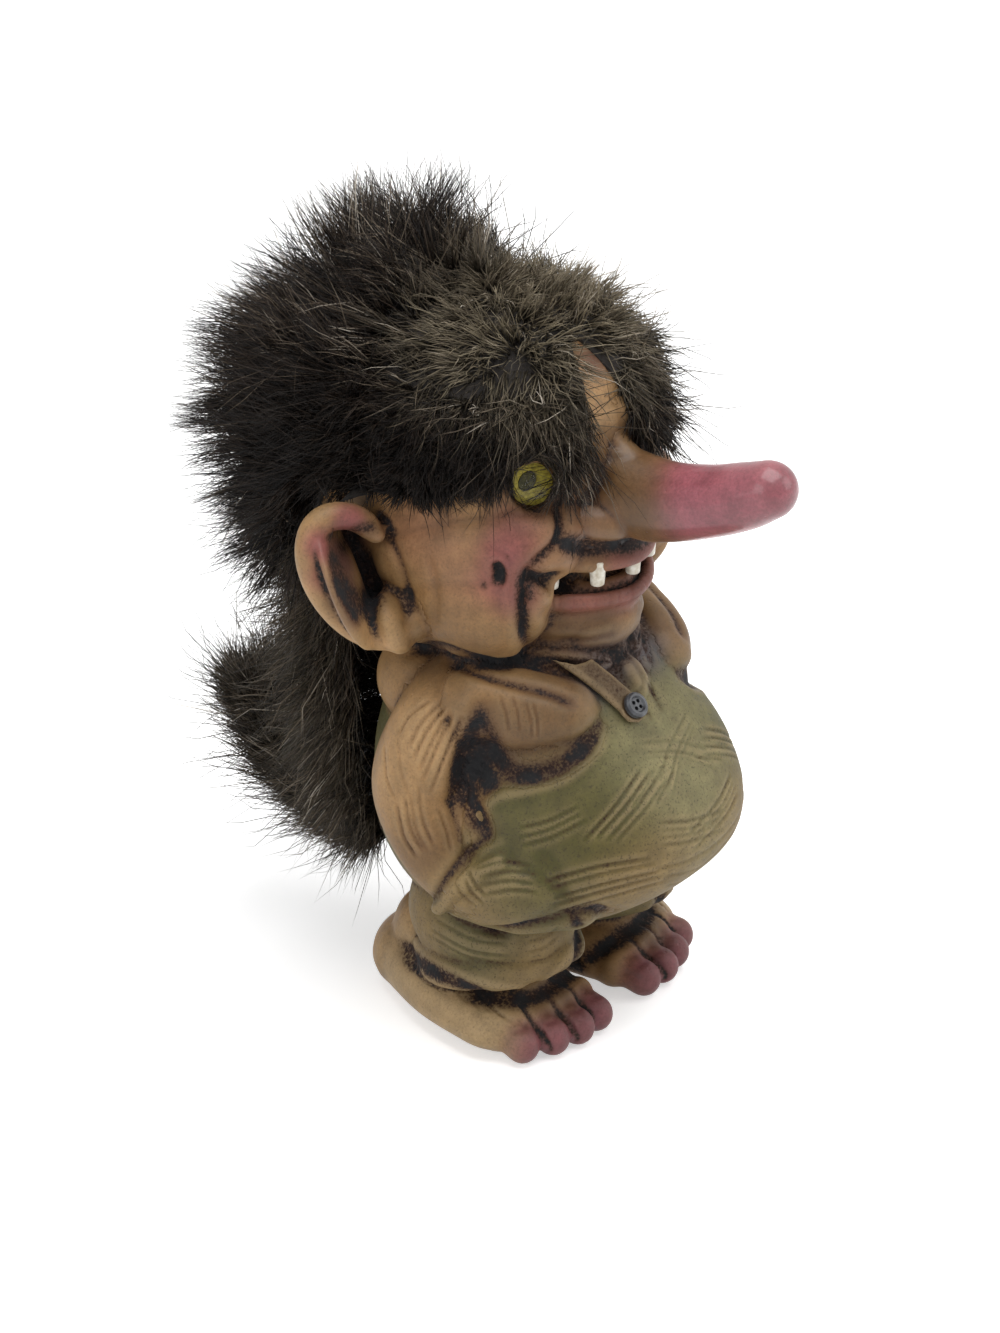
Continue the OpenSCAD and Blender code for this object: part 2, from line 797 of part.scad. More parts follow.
// Rows of pointed locks. A row holds root height, half its spread round the back, count, lean, length
lock_rows = [
    [jaw_h + 0.98 * head_h, 30, 2, 48, 0.72],
    [jaw_h + 0.86 * head_h, 64, 4, 30, 0.8],
    [jaw_h + 0.64 * head_h, 66, 5, 8, 0.8],
    [jaw_h + 0.4 * head_h, 54, 4, -18, 0.75]
];
// A lock sweeps back: it points less to the side than its root does
module lock(root, angle, lean, length, root_r) {
    turn = 180 + (angle - 180) * 0.6;
    way = [sin(turn) * cos(lean), -cos(turn) * cos(lean), sin(lean)];
    link(root, root_r, root + way * length, root_r * 0.14, $fn = 6);
}
module fur_form() {
    intersection() {
        stack(hair_rows, sides = 14, steps = 7);
        above_hairline();
    }
    for (row = lock_rows, k = [0 : row[2] - 1]) {
        angle = 180 - row[1] + 2 * row[1] * k / (row[2] - 1);
        lock(round_form(hair_rows, angle, row[0], -lock_l * 0.36), angle, row[3], lock_l * row[4], lock_l * 0.46);
    }
    lock([0, head_y + skull_reach * 0.3, jaw_h + head_h], 180, 62, lock_l * 0.7, lock_l * 0.36);
}
crown_z = jaw_h + 0.8 * head_h;
fringe_y = head_y + 6;
module fur_zone(low, high) {
    intersection() {
        difference() {
            fur_form();
            stack(head_rows, grow = backing_t);
            head_form();
            for (side = [left, right]) {
                ear_room(side);
                eye_place(side) sphere(eye_d / 2 + 0.4, $fn = 8);
            }
        }
        translate(low) cube(high - low);
    }
}
far = 150;
module hair_crown() { color(fur) fur_zone([-far, -far, crown_z], [far, far, 2 * far]); }
module hair_fringe_right() { color(fur) fur_zone([-far, -far, 0], [0, fringe_y, crown_z]); }
module hair_fringe_left() { color(fur) fur_zone([0, -far, 0], [far, fringe_y, crown_z]); }
mane_top = jaw_h + 0.24 * head_h;
module hair_back() { color(fur) fur_zone([-far, fringe_y, mane_top], [far, far, crown_z]); }

mane_h = mane_top - mane_low;
mane_rows = [
    for (r = [
        [0, 0.35, 0.3, 0.25],
        [0.2, 0.7, 0.6, 0.56],
        [0.45, 0.95, 0.8, 0.86],
        [0.7, 1, 1, 1],
        [1, 1, 1, 1]
    ])
        [mane_low + r[0] * mane_h, back_reach + mane_depth * 0.19, r[1] * mane_w / 2, r[2] * mane_depth * 0.7,
         r[3] * mane_depth * 0.81]
];
module mane_form() {
    intersection() {
        stack(mane_rows, sides = 12, steps = 5);
        translate([-far, back_reach * 0.18, 0]) cube([2 * far, far, far]);
    }
    for (k = [0 : 2], row = [0, 1]) {
        angle = 180 + (k - 1) * 44;
        z = mane_low + mane_h * (row == 0 ? 0.4 : 0.75);
        lock(round_form(mane_rows, angle, z, -mane_w * 0.24), angle, -58, mane_w * 0.53, mane_w * 0.18);
    }
}
module hair_mane() {
    color(fur)
        difference() {
            mane_form();
            body_form();
            overalls_form();
            head_form();
            strap_form();
            stack(head_rows, grow = backing_t);
            stem_form(clearance);
            for (side = [left, right]) {
                arm_form(side);
                ear_room(side);
            }
            translate([-far, -far, mane_top]) cube(2 * far);
        }
}

/* Tail */
stem_path = [
    [0, back_reach - 4, crotch_h + 6],
    [0, back_reach + 8, crotch_h + 1],
    [0, back_reach + 0.43 * tail_reach, crotch_h],
    [0, back_reach + 0.6 * tail_reach, crotch_h + 5]
];
module stem_form(grow = 0) {
    bar(stem_path, [for (r = [2.6, 2.3, 1.9, 1.5]) [r + grow, r + grow]], sides = 8, steps = 6);
}
module tail_stem() {
    color(skin_tone)
        stem_form();
}
tip_y = back_reach + tail_reach - 1.2;
tuft_path = [
    [0, back_reach + 8, crotch_h + 1],
    [0, back_reach + 0.43 * tail_reach, crotch_h + 1],
    [0, back_reach + 0.67 * tail_reach, crotch_h + 6],
    [0, tip_y - 0.1 * tail_reach, crotch_h + 15],
    [0, tip_y, tail_tip_h]
];
module tail_tuft() {
    color(fur)
        difference() {
            union() {
                bar(tuft_path, [[4.5, 4.5], [6.5, 6], [7, 6.5], [5, 4.6], [1.4, 1.4]], sides = 8, steps = 5);
                for (s = [0.32, 0.6], side = [-1, 1])
                    let (p = smooth(tuft_path, s), q = smooth(tuft_path, s + 0.18))
                        link(p, 4.6, p + unit(q - p) * 9 + [3.5 * side, 1, -2], 1, $fn = 6);
            }
            stem_form(clearance / 2);
            body_form();
            overalls_form();
            mane_form();
        }
}
// How far the middle of the whole figure lies behind the body axis
middle_y = (back_reach + tail_reach - face_reach - nose_l) / 2;
module place() { translate([0, -middle_y, 0]) children(); }

place() foot_right();
place() foot_left();
place() torso_skin();
place() arm_right();
place() arm_left();
place() overalls();
place() shoulder_strap();
place() strap_button();
place() head_skin();
place() jaw_skin();
place() nose();
place() teeth();
place() ear_right();
place() ear_left();
place() eye_glass_right();
place() eye_glass_left();
place() eye_iris_right();
place() eye_iris_left();
place() eye_pupil_right();
place() eye_pupil_left();
place() eye_shank_right();
place() eye_shank_left();
place() foam_core();
place() wig_backing();
place() hair_crown();
place() hair_fringe_right();
place() hair_fringe_left();
place() hair_back();
place() hair_mane();
place() tail_stem();
place() tail_tuft();
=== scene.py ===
import math
import random

import bmesh
import bpy
import numpy as np
from mathutils import Matrix, Vector
from mathutils.bvhtree import BVHTree
from mathutils.kdtree import KDTree


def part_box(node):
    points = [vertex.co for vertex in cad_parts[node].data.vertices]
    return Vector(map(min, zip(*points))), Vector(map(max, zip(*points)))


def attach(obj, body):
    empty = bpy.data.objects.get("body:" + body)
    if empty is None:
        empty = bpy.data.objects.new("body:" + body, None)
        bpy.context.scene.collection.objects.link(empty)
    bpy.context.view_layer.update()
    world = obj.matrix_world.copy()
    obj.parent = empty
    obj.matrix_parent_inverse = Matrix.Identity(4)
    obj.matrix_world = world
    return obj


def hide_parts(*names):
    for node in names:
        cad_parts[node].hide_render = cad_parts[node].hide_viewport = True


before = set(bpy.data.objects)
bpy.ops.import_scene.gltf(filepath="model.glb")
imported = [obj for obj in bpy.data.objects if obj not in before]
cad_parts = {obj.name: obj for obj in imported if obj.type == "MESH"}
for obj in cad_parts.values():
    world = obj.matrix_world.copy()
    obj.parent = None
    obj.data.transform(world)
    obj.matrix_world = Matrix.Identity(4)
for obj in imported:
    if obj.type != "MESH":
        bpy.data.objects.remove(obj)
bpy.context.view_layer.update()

# A hand painted latex troll with glass eyes, a fur wig and mane, and a tufted tail.
# Sizes are in millimetres about the body axis, with the figure facing -Y and its left at +X.
# The frame's origin lies MIDDLE behind that axis, and meshes are shifted and scaled to metres for it.
MM = 0.001
MIDDLE = 0.25


# Camera

# Angles in degrees and place in millimetres, worked out from the photograph
AZIMUTH = -54.0
ELEVATION = 26.0
CAMERA_AT = (-500.64, -362.99, 359.06)
FOCAL_PIXELS = 4200.0
PHOTO_SIZE = (1000.0, 1333.0)


def view_axes():
    """Directions of the camera: to its right, up, and back from the figure."""
    turn, rise = math.radians(AZIMUTH), math.radians(ELEVATION)
    back = Vector((math.sin(turn) * math.cos(rise), -math.cos(turn) * math.cos(rise), math.sin(rise)))
    right = Vector((math.cos(turn), math.sin(turn), 0))
    return right, back.cross(right), back


def make_camera():
    right, up, back = view_axes()
    data = bpy.data.cameras.new("photo_camera")
    data.sensor_fit = "VERTICAL"
    data.sensor_height = 36.0
    data.lens = data.sensor_height * FOCAL_PIXELS / PHOTO_SIZE[1]
    camera = bpy.data.objects.new("photo_camera", data)
    bpy.context.scene.collection.objects.link(camera)
    camera.matrix_world = Matrix((
        (right.x, up.x, back.x, CAMERA_AT[0] * MM),
        (right.y, up.y, back.y, (CAMERA_AT[1] - MIDDLE) * MM),
        (right.z, up.z, back.z, CAMERA_AT[2] * MM),
        (0, 0, 0, 1)))
    bpy.context.scene.camera = camera


def photo_ray(pixel):
    """Origin and direction, in millimetres, of the line of sight through a pixel of the photograph."""
    right, up, back = view_axes()
    across, down = (p - size / 2 for p, size in zip(pixel, PHOTO_SIZE))
    way = (right * across - up * down) / FOCAL_PIXELS - back
    return Vector(CAMERA_AT), way.normalized()


make_camera()


# Small tools


def linear(code):
    """Linear red, green and blue of an sRGB hex colour."""
    parts = [int(code[i:i + 2], 16) / 255 for i in (1, 3, 5)]
    return [p / 12.92 if p <= 0.04045 else ((p + 0.055) / 1.055) ** 2.4 for p in parts]


def add_node(tree, kind, inputs=None, **settings):
    """Adds a node, sets its properties, and sets or links its inputs by name or number."""
    node = tree.nodes.new(kind)
    for name, value in settings.items():
        setattr(node, name, value)
    for key, value in (inputs or {}).items():
        socket = node.inputs[key]
        if isinstance(value, bpy.types.NodeSocket):
            tree.links.new(value, socket)
        elif isinstance(value, str):
            socket.default_value = linear(value) + [1.0]
        else:
            socket.default_value = value
    return node


def new_material(name):
    """A material with one surface shader, its node tree and that shader."""
    material = bpy.data.materials.new(name)
    material.use_nodes = True
    tree = material.node_tree
    tree.nodes.clear()
    shader = add_node(tree, "ShaderNodeBsdfPrincipled")
    add_node(tree, "ShaderNodeOutputMaterial", {"Surface": shader.outputs[0]})
    return material, tree, shader


def new_object(name, data):
    """A new object of the scene, made from a mesh or a lamp."""
    thing = bpy.data.objects.new(name, data)
    bpy.context.scene.collection.objects.link(thing)
    return thing


def in_metres(points):
    """Mesh places of points given in millimetres about the body axis."""
    return np.asarray(points, float) * MM - np.array([0, MIDDLE * MM, 0])


def mesh_object(name, points, faces):
    """A new smooth object from points in millimetres about the body axis."""
    data = bpy.data.meshes.new(name)
    data.from_pydata(in_metres(points).tolist(), [], [list(f) for f in faces])
    data.update()
    data.shade_smooth()
    return new_object(name, data)


def paint_layer(thing, name, columns):
    """Keeps four values for each point of an object as its colour attribute."""
    layer = thing.data.color_attributes.new(name, "FLOAT_COLOR", "POINT")
    layer.data.foreach_set("color", np.column_stack(columns).ravel())


def point_finder(points):
    """A search tree for the nearest of some points."""
    finder = KDTree(len(points))
    for i, p in enumerate(points):
        finder.insert(p, i)
    finder.balance()
    return finder


def only(thing):
    bpy.ops.object.select_all(action="DESELECT")
    thing.select_set(True)
    bpy.context.view_layer.objects.active = thing


def apply_modifier(thing, kind, **settings):
    only(thing)
    modifier = thing.modifiers.new(kind.title(), kind)
    for name, value in settings.items():
        setattr(modifier, name, value)
    bpy.ops.object.modifier_apply(modifier=modifier.name)


def one_skin(thing, voxel, rubs):
    """Remeshes an object to one skin, by voxels given in millimetres, and rubs it smooth."""
    only(thing)
    thing.data.remesh_voxel_size = voxel * MM
    thing.data.remesh_voxel_adaptivity = 0
    bpy.ops.object.voxel_remesh()
    apply_modifier(thing, "SMOOTH", factor=0.5, iterations=rubs)


def points_of(thing):
    """Vertex places in millimetres about the body axis."""
    flat = np.empty(len(thing.data.vertices) * 3)
    thing.data.vertices.foreach_get("co", flat)
    return flat.reshape(-1, 3) / MM + np.array([0, MIDDLE, 0])


def set_points(thing, points):
    flat = (points - np.array([0, MIDDLE, 0])) * MM
    thing.data.vertices.foreach_set("co", flat.ravel())
    thing.data.update()


def normals_of(thing):
    flat = np.empty(len(thing.data.vertices) * 3)
    thing.data.vertices.foreach_get("normal", flat)
    return flat.reshape(-1, 3)


def smooth_curve(rows, count):
    """Points on a smooth curve through rows, evenly spaced in the rows' order."""
    rows = np.asarray(rows, float)
    last = len(rows) - 1
    out = []
    for u in np.linspace(0, last - 1e-6, count):
        i = int(u)
        t = u - i
        a, b, c, d = rows[max(i - 1, 0)], rows[i], rows[i + 1], rows[min(i + 2, last)]
        out.append(0.5 * (2 * b + (c - a) * t + (2 * a - 5 * b + 4 * c - d) * t * t
                          + (3 * b - a - 3 * c + d) * t ** 3))
    return np.array(out)


def path_length(points):
    return sum(math.dist(a, b) for a, b in zip(points, points[1:]))


# Clay

# The sculptor's clay is lofts, rolls and lumps, pressed together and smoothed.
# SQUARE is the power of the rings: 2 is an ellipse, and more is squarer.
SQUARE = 2.4
CLAY = []


def grid_faces(rings, sides):
    """Faces of a tube of rings, closed at both ends."""
    faces = []
    for k in range(rings - 1):
        for i in range(sides):
            j = (i + 1) % sides
            faces.append((k * sides + i, k * sides + j, (k + 1) * sides + j, (k + 1) * sides + i))
    faces.append(tuple(range(sides))[::-1])
    faces.append(tuple((rings - 1) * sides + i for i in range(sides)))
    return faces


def squared(v):
    """The sine or cosine of a ring made squarer."""
    return np.sign(v) * np.abs(v) ** (2 / SQUARE)


def loft(zone, rows, sides=96, steps=60):
    """A mass of level rings. A row holds height, middle y, half width, reach forward and reach back."""
    turn = np.linspace(0, 2 * math.pi, sides, endpoint=False)
    points = []
    for z, y, half, front, back in smooth_curve(rows, steps):
        reach = np.where(np.sin(turn) < 0, front, back)
        across = half * squared(np.cos(turn))
        along = y + reach * squared(np.sin(turn))
        points.append(np.stack([across, along, np.full(sides, z)], 1))
    CLAY.append((zone, np.concatenate(points), grid_faces(steps, sides)))


CAP_ANGLES = [math.radians(a) for a in (85, 68, 50, 32, 15)]


def roll(zone, path, radii, sides=28, step=1.0, both=True):
    """A rolled sausage of clay along a path, with round ends. A radius may be (across, up)."""
    sizes = [(r, r) if np.isscalar(r) else r for r in radii]
    count = max(int(path_length(path) / step), 6)
    middles = smooth_curve(path, count)
    sizes = smooth_curve(sizes, count)
    ways = np.gradient(middles, axis=0)
    ways /= np.linalg.norm(ways, axis=1)[:, None]
    # a flat roll lies level, and a round one turns about the axis that it runs along least
    steady = np.eye(3)[np.abs(ways).max(0).argmin() if np.isscalar(radii[0]) else 2]
    turn = np.linspace(0, 2 * math.pi, sides, endpoint=False)[:, None]
    rings = []

    def ring(middle, way, size, shrink, along):
        across = np.cross(way, steady)
        across /= np.linalg.norm(across)
        up = np.cross(across, way)
        wide = across * size[0] * shrink * np.cos(turn)
        high = up * size[1] * shrink * np.sin(turn)
        rings.append(middle + way * along + wide + high)

    for a in CAP_ANGLES:
        ring(middles[0], ways[0], sizes[0], math.cos(a), -math.sin(a) * sizes[0].mean())
    for m, w, s in zip(middles, ways, sizes):
        ring(m, w, s, 1, 0)
    for a in CAP_ANGLES[::-1]:
        ring(middles[-1], ways[-1], sizes[-1], math.cos(a), math.sin(a) * sizes[-1].mean())
    CLAY.append((zone, np.concatenate(rings), [f[::-1] for f in grid_faces(len(rings), sides)]))
    if both:
        mirror_last()


def lump(zone, middle, radii, turn=(0, 0, 0), both=True):
    """A pressed ball of clay: an ellipsoid turned by degrees about x, then y, then z."""
    bpy.ops.mesh.primitive_uv_sphere_add(segments=32, ring_count=20, radius=1)
    ball = bpy.context.object
    points = np.array([v.co[:] for v in ball.data.vertices]) * radii
    faces = [tuple(f.vertices) for f in ball.data.polygons]
    bpy.data.objects.remove(ball)
    for axis, angle in enumerate(turn):
        c, s = math.cos(math.radians(angle)), math.sin(math.radians(angle))
        a, b = [(1, 2), (2, 0), (0, 1)][axis]
        turned = [c * points[:, a] - s * points[:, b], s * points[:, a] + c * points[:, b]]
        points[:, [a, b]] = np.stack(turned, 1)
    CLAY.append((zone, points + np.array(middle), faces))
    if both:
        mirror_last()


def mirror_last():
    """The same clay on the figure's left, as made on its right."""
    zone, points, faces = CLAY[-1]
    CLAY.append((zone.replace("right", "left"), points * [-1, 1, 1], [f[::-1] for f in faces]))


# Body masses


def mass(low, tall, middle, half, front, back, shares):
    """Rows of a loft. Shares of its height, half width and reach forward and back give each row."""
    return [(low + tall * z, middle, half * h, front * f, back * b) for z, h, f, b in shares]


BODY_ROWS = mass(low=20, tall=50, middle=-9.0, half=27, front=31, back=26, shares=[
    (0, 0.5, 0.2, 0.5), (0.09, 0.8, 0.62, 0.74), (0.23, 0.96, 0.92, 0.9), (0.37, 1, 1, 0.96),
    (0.53, 0.96, 0.92, 1), (0.67, 0.87, 0.76, 0.97), (0.8, 0.76, 0.6, 0.88), (0.92, 0.6, 0.42, 0.74),
    (1, 0.44, 0.3, 0.56)])
HEAD_Y = 4.0
HEAD_ROWS = mass(low=66, tall=57, middle=HEAD_Y, half=25, front=26.5, back=29, shares=[
    (0, 0.52, 0.58, 0.4), (0.06, 0.84, 0.78, 0.66), (0.17, 0.95, 0.86, 0.84), (0.31, 0.98, 0.92, 0.95),
    (0.45, 1, 0.97, 1), (0.59, 1, 1, 1), (0.72, 0.95, 0.98, 0.97), (0.84, 0.82, 0.86, 0.86),
    (0.93, 0.6, 0.62, 0.66), (1, 0.22, 0.22, 0.26)])
LIP_ROOT = -10.0
LIP_REACH = 14.4
MOUTH_HALF = 14.5
CLOTH_THICK = 0.9


def lip(angle, z, out=0.0):
    """Point on the arch of the lips, at an angle from the middle plane."""
    a = math.radians(angle)
    return ((MOUTH_HALF + out) * math.sin(a), LIP_ROOT - (LIP_REACH + out) * math.cos(a) ** 1.6, z)


def clay_torso():
    """Bare chest with its shoulders, the front of the neck and a fold of it."""
    loft("torso", BODY_ROWS)
    roll("torso", [(-13.2, -21.5, 60.4), (-16, -18, 61), (-20, -10.5, 61.5)], [5.6, 6.6, 7.6])
    lump("torso", (-12, 4, 60), (11, 10, 9))
    roll("torso", [(0, -26, 62), (0, -21.5, 67), (0, -14, 71)], [2.4, 2.6, 3], both=False)
    roll("torso", [(-4, -23.5, 66.5), (-9, -19.5, 67.8), (-15, -12, 68.8)], [1.5, 1.7, 1.5])


def clay_arm():
    """Arm down to the wrist, which goes into the pocket."""
    upper_arm = [(-16.5, -5, 61), (-22, -4, 55.5), (-24, -1.5, 46.5)]
    forearm = [(-25.2, -5.5, 38), (-26, -12, 33), (-25, -18, 32)]
    roll("arm_right", upper_arm + forearm, [8.0, 8.8, 8.4, 7.2, 5.6, 4.2])


def clay_overalls():
    """Cloth over the body, a leg with its rolled hem, the hand in the pocket and the pocket's lip."""
    loft("overalls", [(z, y, *(reach + CLOTH_THICK for reach in reaches)) for z, y, *reaches in BODY_ROWS])
    lump("overalls", (-13.5, -8, 21), (12.8, 15, 12))
    hem = [(-13.5, -21, 17), (-22.5, -15, 15.4), (-23, -4, 13), (-14, 3.5, 11.5), (-6, -3, 12.6),
           (-5.8, -14, 15.4), (-11, -20.8, 17)]
    roll("overalls", hem, [3.2] * len(hem))
    roll("overalls", [(-23.5, -11, 32), (-22, -19, 33), (-18, -26, 32)], [7, 8.4, 6.4])
    roll("overalls", [(-30.2, -9, 29), (-29.6, -14.5, 35), (-27.4, -19, 39)], [1.4, 1.7, 1.6])


FOOT_TURN = math.radians(-7)
FOOT_AT = (-9.5, 17)
# Tips of the toes, the inner one first
TOES = [(7.4, -40.3), (2.2, -41), (-3.1, -40.3), (-8.4, -38.4)]


def on_foot(x, y, z):
    """Point on the right foot: x runs to the inner side, y from the toes back to the heel."""
    c, s = math.cos(FOOT_TURN), math.sin(FOOT_TURN)
    return (FOOT_AT[0] + c * x - s * y, FOOT_AT[1] + s * x + c * y, z)


def clay_foot():
    """Broad low foot with its instep, its ball and four toes."""
    sole = [on_foot(0, -8.5, 6.5), on_foot(-1.2, -20, 6.2), on_foot(-1.2, -30.6, 5.0)]
    roll("foot_right", sole, [(9.4, 7.5), (12.4, 7.0), (13.3, 5.4)])
    roll("foot_right", [on_foot(0, -12, 12), on_foot(0.4, -22, 9.6), on_foot(1.6, -30, 6)], [8, 7.8, 5.4])
    ball = [on_foot(7.4, -34.8, 4.5), on_foot(0, -35, 4.9), on_foot(-8.2, -33, 4.3)]
    roll("foot_right", ball, [3.9, 4.5, 3.9])
    for x, y in TOES:
        roll("foot_right", [on_foot(x * 0.95, y + 5, 4.6), on_foot(x, y, 3.4)], [(2.7, 3.0), (2.85, 3.2)])


def clay_head():
    """Skull, cheek, brow, jowl, upper lip and the root of the nose."""
    loft("head", HEAD_ROWS)
    lump("head", (-15.5, -6, 80), (10.6, 13.5, 12.4))
    roll("head", [(-12.5, -14.8, 90), (-17, -7, 87.5), (-18, 3, 84)], [8.6, 9.2, 8.4])
    roll("head", [(-1.5, -18.4, 106.5), (-8, -17.4, 106.5), (-15, -13, 105)], [4.2, 3.6, 2.6])
    jowl = [(-15.8, -17.4, 91), (-17.3, -16.6, 86.5), (-17, -14.6, 79), (-17, -11.6, 73.5)]
    roll("head", jowl, [4, 5.2, 5.4, 4.6])
    roll("head", [lip(a, 87.4) for a in (-72, -36, 0, 36, 72)], [2.2, 2.7, 3.1, 2.7, 2.2], both=False)
    roll("head", [lip(a, 85.2, 0.6) for a in (-54, -27, 0, 27, 54)], [1.5, 2.2, 2.6, 2.2, 1.5], both=False)
    roll("head", [(0, -16, 94), (0, -20, 90), (0, -22.6, 87.5)], [6, 4.8, 3.2], both=False)


def clay_jaw():
    """Lower lip and chin as four arches, filled inside."""
    for z, out, r in ((78.9, 0.2, 2.5), (76.3, -1.9, 3), (73.5, -3.4, 3.6), (71.2, -4.8, 4.2)):
        roll("jaw", [lip(a, z, out) for a in (-70, -35, 0, 35, 70)], [r] * 5, both=False)
    lump("jaw", (0, -18.6, 72.6), (9, 6.6, 6), both=False)
    lump("jaw", (0, -14.5, 75), (11.5, 9, 6), both=False)


def clay_nose():
    """Long nose, its wings and its bridge between the brows."""
    tip = [(0, -40, 97.4), (0, -46, 99.8), (0, -50, 101.8)]
    roll("nose", [(0, -17, 94.4), (0, -24, 94.4), (0, -32, 95.2)] + tip,
         [(7.6, 8.8), (7.1, 7.6), (6.6, 6.4), (6.0, 5.7), (5.5, 5.3), (4.8, 4.7)], both=False)
    roll("nose", [(-5, -24, 91), (-8.4, -20, 91.8)], [3.8, 3.6])
    roll("nose", [(0, -19, 108), (0, -20, 102.5), (0, -26, 97.8)], [2.6, 3.2, 3.4], both=False)


EAR_TURN = math.radians(-32)
EAR_TILT = math.radians(-22)
EAR_ROOT = (22.5, 1, 83.1)


def on_ear(x, y, z):
    """Point near the right ear: x runs out from the head, y to the back of the ear, z up."""
    c, s = math.cos(EAR_TILT), math.sin(EAR_TILT)
    y, z = c * y - s * z, s * y + c * z
    c, s = math.cos(EAR_TURN), math.sin(EAR_TURN)
    return (-(EAR_ROOT[0] + c * x - s * y), EAR_ROOT[1] - s * x + c * y, EAR_ROOT[2] + z)


def clay_ear():
    """Open bowl of the ear: its rolled rim, its wall, and its lobe by the cheek."""
    turns = np.radians(range(-150, 156, 18))
    rim = [on_ear(10.3 + 8.6 * math.cos(a), -1.4 - 1.2 * math.cos(a), 11 * math.sin(a)) for a in turns]
    roll("ear_right", rim, [2.4] + [2.3] * (len(rim) - 2) + [1.9])
    lump("ear_right", on_ear(9.5, 2.0, 0), (10.4, 1.9, 11.6), (-22, 0, 32))
    lump("ear_right", on_ear(5.5, 1.4, -8), (6, 3, 5.5), (-22, 0, 32))
    roll("ear_right", [on_ear(1, -0.6, -6.5), on_ear(5, -0.9, -9), on_ear(10, -1.2, -9.8)], [3.4, 3.4, 3])


# Voxel by which the clay is joined, in millimetres, and how often its skin is rubbed
VOXEL = 0.4
RUBS = 16


def press_together():
    """Joins the clay to one smooth skin that stands on the floor, and gives back the clay's points."""
    points, faces, zones, base = [], [], [], 0
    for zone, part_points, part_faces in CLAY:
        points.append(part_points)
        faces += [tuple(base + i for i in f) for f in part_faces]
        zones += [zone] * len(part_points)
        base += len(part_points)
    cast = mesh_object("cast", np.concatenate(points), faces)
    one_skin(cast, VOXEL, RUBS)
    skin = points_of(cast)
    skin[:, 2] = np.maximum(skin[:, 2], 0.0)
    set_points(cast, skin)
    return cast, np.concatenate(points), zones


for build in (clay_torso, clay_arm, clay_overalls, clay_foot, clay_head, clay_jaw, clay_nose, clay_ear):
    build()
cast, clay_points, clay_zones = press_together()


# Modelling tool strokes


def toe_gap(inner, outer):
    """Stroke down between two toes, from the instep to the floor."""
    x, y = (inner[0] + outer[0]) / 2, (inner[1] + outer[1]) / 2
    points = [on_foot(x * 0.9, y + 4.5, 9), on_foot(x, y + 2, 7)]
    points += [on_foot(x, y - 2.6, 3.4), on_foot(x, y - 2, 1)]
    return points, 0.5, 0.45, 0.6


def knuckle(x, y):
    """Crease across a toe."""
    points = [on_foot(x - 2.1, y + 0.6, 7), on_foot(x, y - 0.6, 7.6), on_foot(x + 2.1, y + 0.6, 7)]
    return points, 0.35, 0.18, 0.15


